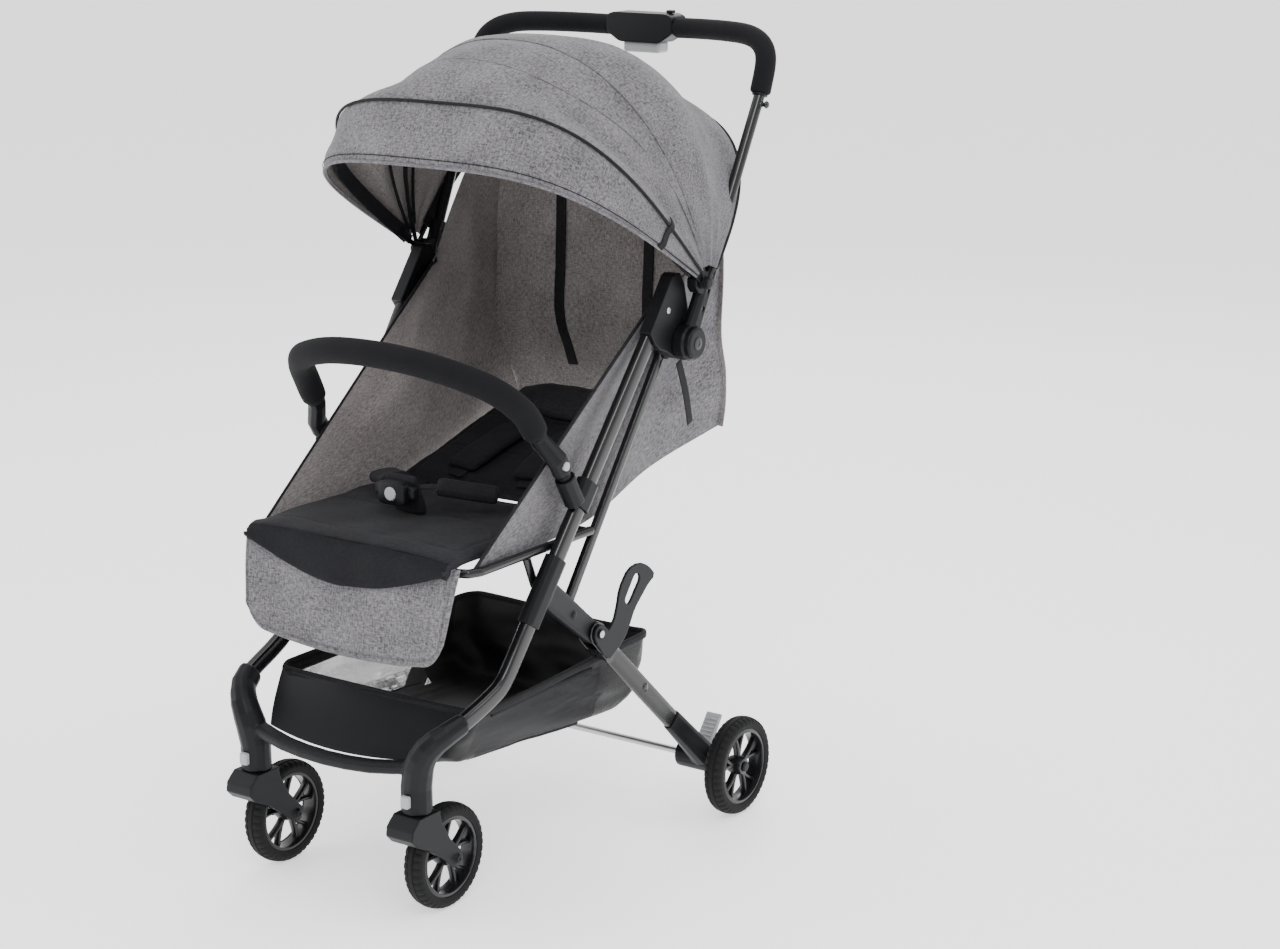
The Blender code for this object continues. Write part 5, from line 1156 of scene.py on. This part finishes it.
for j in range(n):
    k = (j + 1) % n
    build.faces.new((grids[0][-1][j], grids[0][-1][k], grids[1][-1][k], grids[1][-1][j]))
build.faces.new([grids[0][0][j] for j in range(n)][::-1])
build.faces.new([grids[1][0][j] for j in range(n)])
bag_ = makeObject("basket_bag", build, [satinCloth, blackNet], 70)
finish(bag_, "front_frame", "cloth_black", "basket")
rim = [p.copy() for p in outer[-1][:-1]]
rimRings = []
for j, p in enumerate(rim):
    ahead = (rim[(j + 1) % n] - rim[j - 1]).normalized()
    out = Vector((ahead.y, -ahead.x, 0)).normalized()
    rimRings.append(oval(p + Vector((0, 0, -0.002)), out, ahead.cross(out), 0.0026, 0.0052, 14, 2.6))
finish(loft("basket_rim_binding", rimRings, webbing, around=True, turn=70), "front_frame", "cloth_black")
netEdge = []
for i in (10, 30):
    line = [outer[i][j] + Vector((math.copysign(0.0006, outer[i][j].x), 0, 0)) for j in range(n) if outer[i][j].x > 0.125 and at(0, 0.045, 0).y < outer[i][j].y < at(0, 0.300, 0).y]
    line.sort(key=lambda p: p.y)
    for side, sign in (("l", 1), ("r", -1)):
        points = line if sign > 0 else mirrorPoints(line)
        finish(bar(f"net_binding_{i}_{side}", points, 0.0012, 0.0036, webbing, 10, roundEnd=0.0004), "front_frame", "cloth_black")

apronRows = []
for i in range(25):
    share = i / 24 * 2 - 1
    top = at(0.150 * share, 0.0222 + 0.003 * share ** 4, 0.2505)
    mid = at(0.134 * share, -0.0130 + 0.003 * share ** 2, 0.2190)
    x = 0.113 * share
    low = at(x, -0.0533 + 0.016 * (x / 0.128) ** 2, 0.1945 + 0.006 * share ** 2)
    apronRows.append([top * (1 - t) ** 2 + (mid * 2 - (top + low) * 0.5) * 2 * t * (1 - t) + low * t ** 2 for t in [k / 16 for k in range(17)]])
apron = sheetOf("basket_front_panel", apronRows, -0.0018, [blackPlastic, blackPlastic])
finish(apron, "front_frame", "plastic_black")
edge = [row[0] + Vector((0, 0, 0.0004)) for row in apronRows]
finish(bar("front_panel_hem", edge, 0.0024, 0.0048, webbing, 12, Vector((0, 1, 0)), 3.0, 0.0008), "front_frame", "cloth_black")
stage("basket")

# ---- small hardware

def screwHead(name, centre, radius, body, outward, material=steel, depth=0.0012):
    o = outward
    profile = [(0.0, radius), (o * depth * 0.6, radius), (o * depth, radius * 0.8), (o * depth, radius * 0.42), (o * depth * 0.35, radius * 0.36), (o * depth * 0.35, 0.0002)]
    if o < 0:
        profile = profile[::-1]
    return finish(turned(name, centre, profile, material, 24), body, "plastic_black")


for side, sign in (("l", 1), ("r", -1)):
    for face in (1, -1):
        x = sign * 0.132 + face * 0.0242
        screwHead(f"fork_screw_{side}_{'o' if face > 0 else 'i'}", at(x, 0, 0.0675), 0.0052, "caster_" + side, face, blackPlastic)
    screwHead("hub_cap_ring_" + side, at(sign * 0.2399, 0.404, 0.660), 0.0085, "handle", sign, glossPlastic, 0.0010)
    screwHead("pivot_screw_" + side, at(sign * 0.1993, 0.2459, 0.302), 0.0048, "front_frame", sign, steel, 0.0008)
    rivetA = at(sign * 0.2143, 0.374, 0.705)
    screwHead("bracket_rivet_" + side, rivetA, 0.0042, "front_frame", sign, steel, 0.0012)
    strapLine = [at(sign * 0.2050, 0.4112, 0.6313), at(sign * 0.2040, 0.430, 0.585), at(sign * 0.2010, 0.4447, 0.5419)]
    strap("recline_strap_" + side, strapLine, 0.013, "front_frame", Vector((0, 0.93, 0.36)), thick=0.0008)

pedal = {"axis": at(0.2, 0.4725, 0.0675), "aim": Vector((0, 0.616, 0.788)).normalized()}
up = Vector((0, -pedal["aim"].z, pedal["aim"].y))
for k in range(5):
    spot = pedal["axis"] + pedal["aim"] * (0.030 + 0.0060 * k) + up * 0.0040
    finish(bar(f"pedal_rib_{k}", [spot - Vector((0.0095, 0, 0)), spot + Vector((0.0095, 0, 0))], 0.0010, 0.0013, greyPlastic, 12, Vector((0, 1, 0))), "brake", "plastic_grey")
stage("hardware")

# ---- floor, light and camera

rings = []
for r in (0.0002, 2, 8, 40):
    rings.append([Vector((r * math.cos(2 * math.pi * k / 96), r * math.sin(2 * math.pi * k / 96), -0.0002)) for k in range(96)])
floorMaterial, tree, shader = newMaterial("studio floor", 0.55)
place = addNode(tree, "ShaderNodeTexCoord").outputs["Object"]
tree.links.new(mixColour(tree, speckle(tree, place, 3.0), rgba(0.90, 0.90, 0.905), rgba(0.93, 0.93, 0.93)), shader.inputs["Base Color"])
shader.inputs["Emission Color"].default_value = (1.0, 1.0, 1.0, 1.0)
shader.inputs["Emission Strength"].default_value = 0.9
loft("studio_floor", rings, floorMaterial, caps=False, turn=60)

studio = {"key": (1.9, -2.2, 3.2, 1.8, 62), "side": (3.0, 1.4, 2.0, 1.6, 26), "left": (-2.8, -1.6, 1.8, 2.2, 34), "top": (0.0, 0.3, 3.8, 3.0, 60), "back": (-1.2, 3.0, 2.6, 2.0, 36)}
for name, (x, y, z, size, power) in studio.items():
    light = bpy.data.lights.new("light_" + name, "AREA")
    light.shape = "DISK"
    light.size = size
    light.energy = power
    lamp = bpy.data.objects.new("light_" + name, light)
    lamp.location = (x, y, z)
    lamp.rotation_euler = (Vector((0, 0, 0.5)) - lamp.location).to_track_quat("-Z", "Y").to_euler()
    bpy.context.scene.collection.objects.link(lamp)
world = bpy.data.worlds.new("studio")
bpy.context.scene.world = world
world.use_nodes = True
world.node_tree.nodes["Background"].inputs[0].default_value = (1.0, 1.0, 1.0, 1.0)
world.node_tree.nodes["Background"].inputs[1].default_value = 1.0

shot = {"azimuth": 34.6435, "elevation": 14.3398, "focal": 2609.6, "width": 1280, "at": (2.0525, -2.3508, 1.3288)}
a, e = math.radians(shot["azimuth"]), math.radians(shot["elevation"])
back = Vector((math.sin(a) * math.cos(e), -math.cos(a) * math.cos(e), math.sin(e)))
right = Vector((math.cos(a), math.sin(a), 0))
up = back.cross(right)
camera = bpy.data.objects.new("camera", bpy.data.cameras.new("camera"))
camera.data.sensor_fit = "HORIZONTAL"
camera.data.sensor_width = 36
camera.data.lens = shot["focal"] * 36 / shot["width"]
matrix = camera.matrix_world.to_3x3()
for k in range(3):
    matrix[k][0], matrix[k][1], matrix[k][2] = right[k], up[k], back[k]
camera.matrix_world = matrix.to_4x4()
camera.location = at(*shot["at"])
bpy.context.scene.collection.objects.link(camera)
bpy.context.scene.camera = camera
stage("studio")
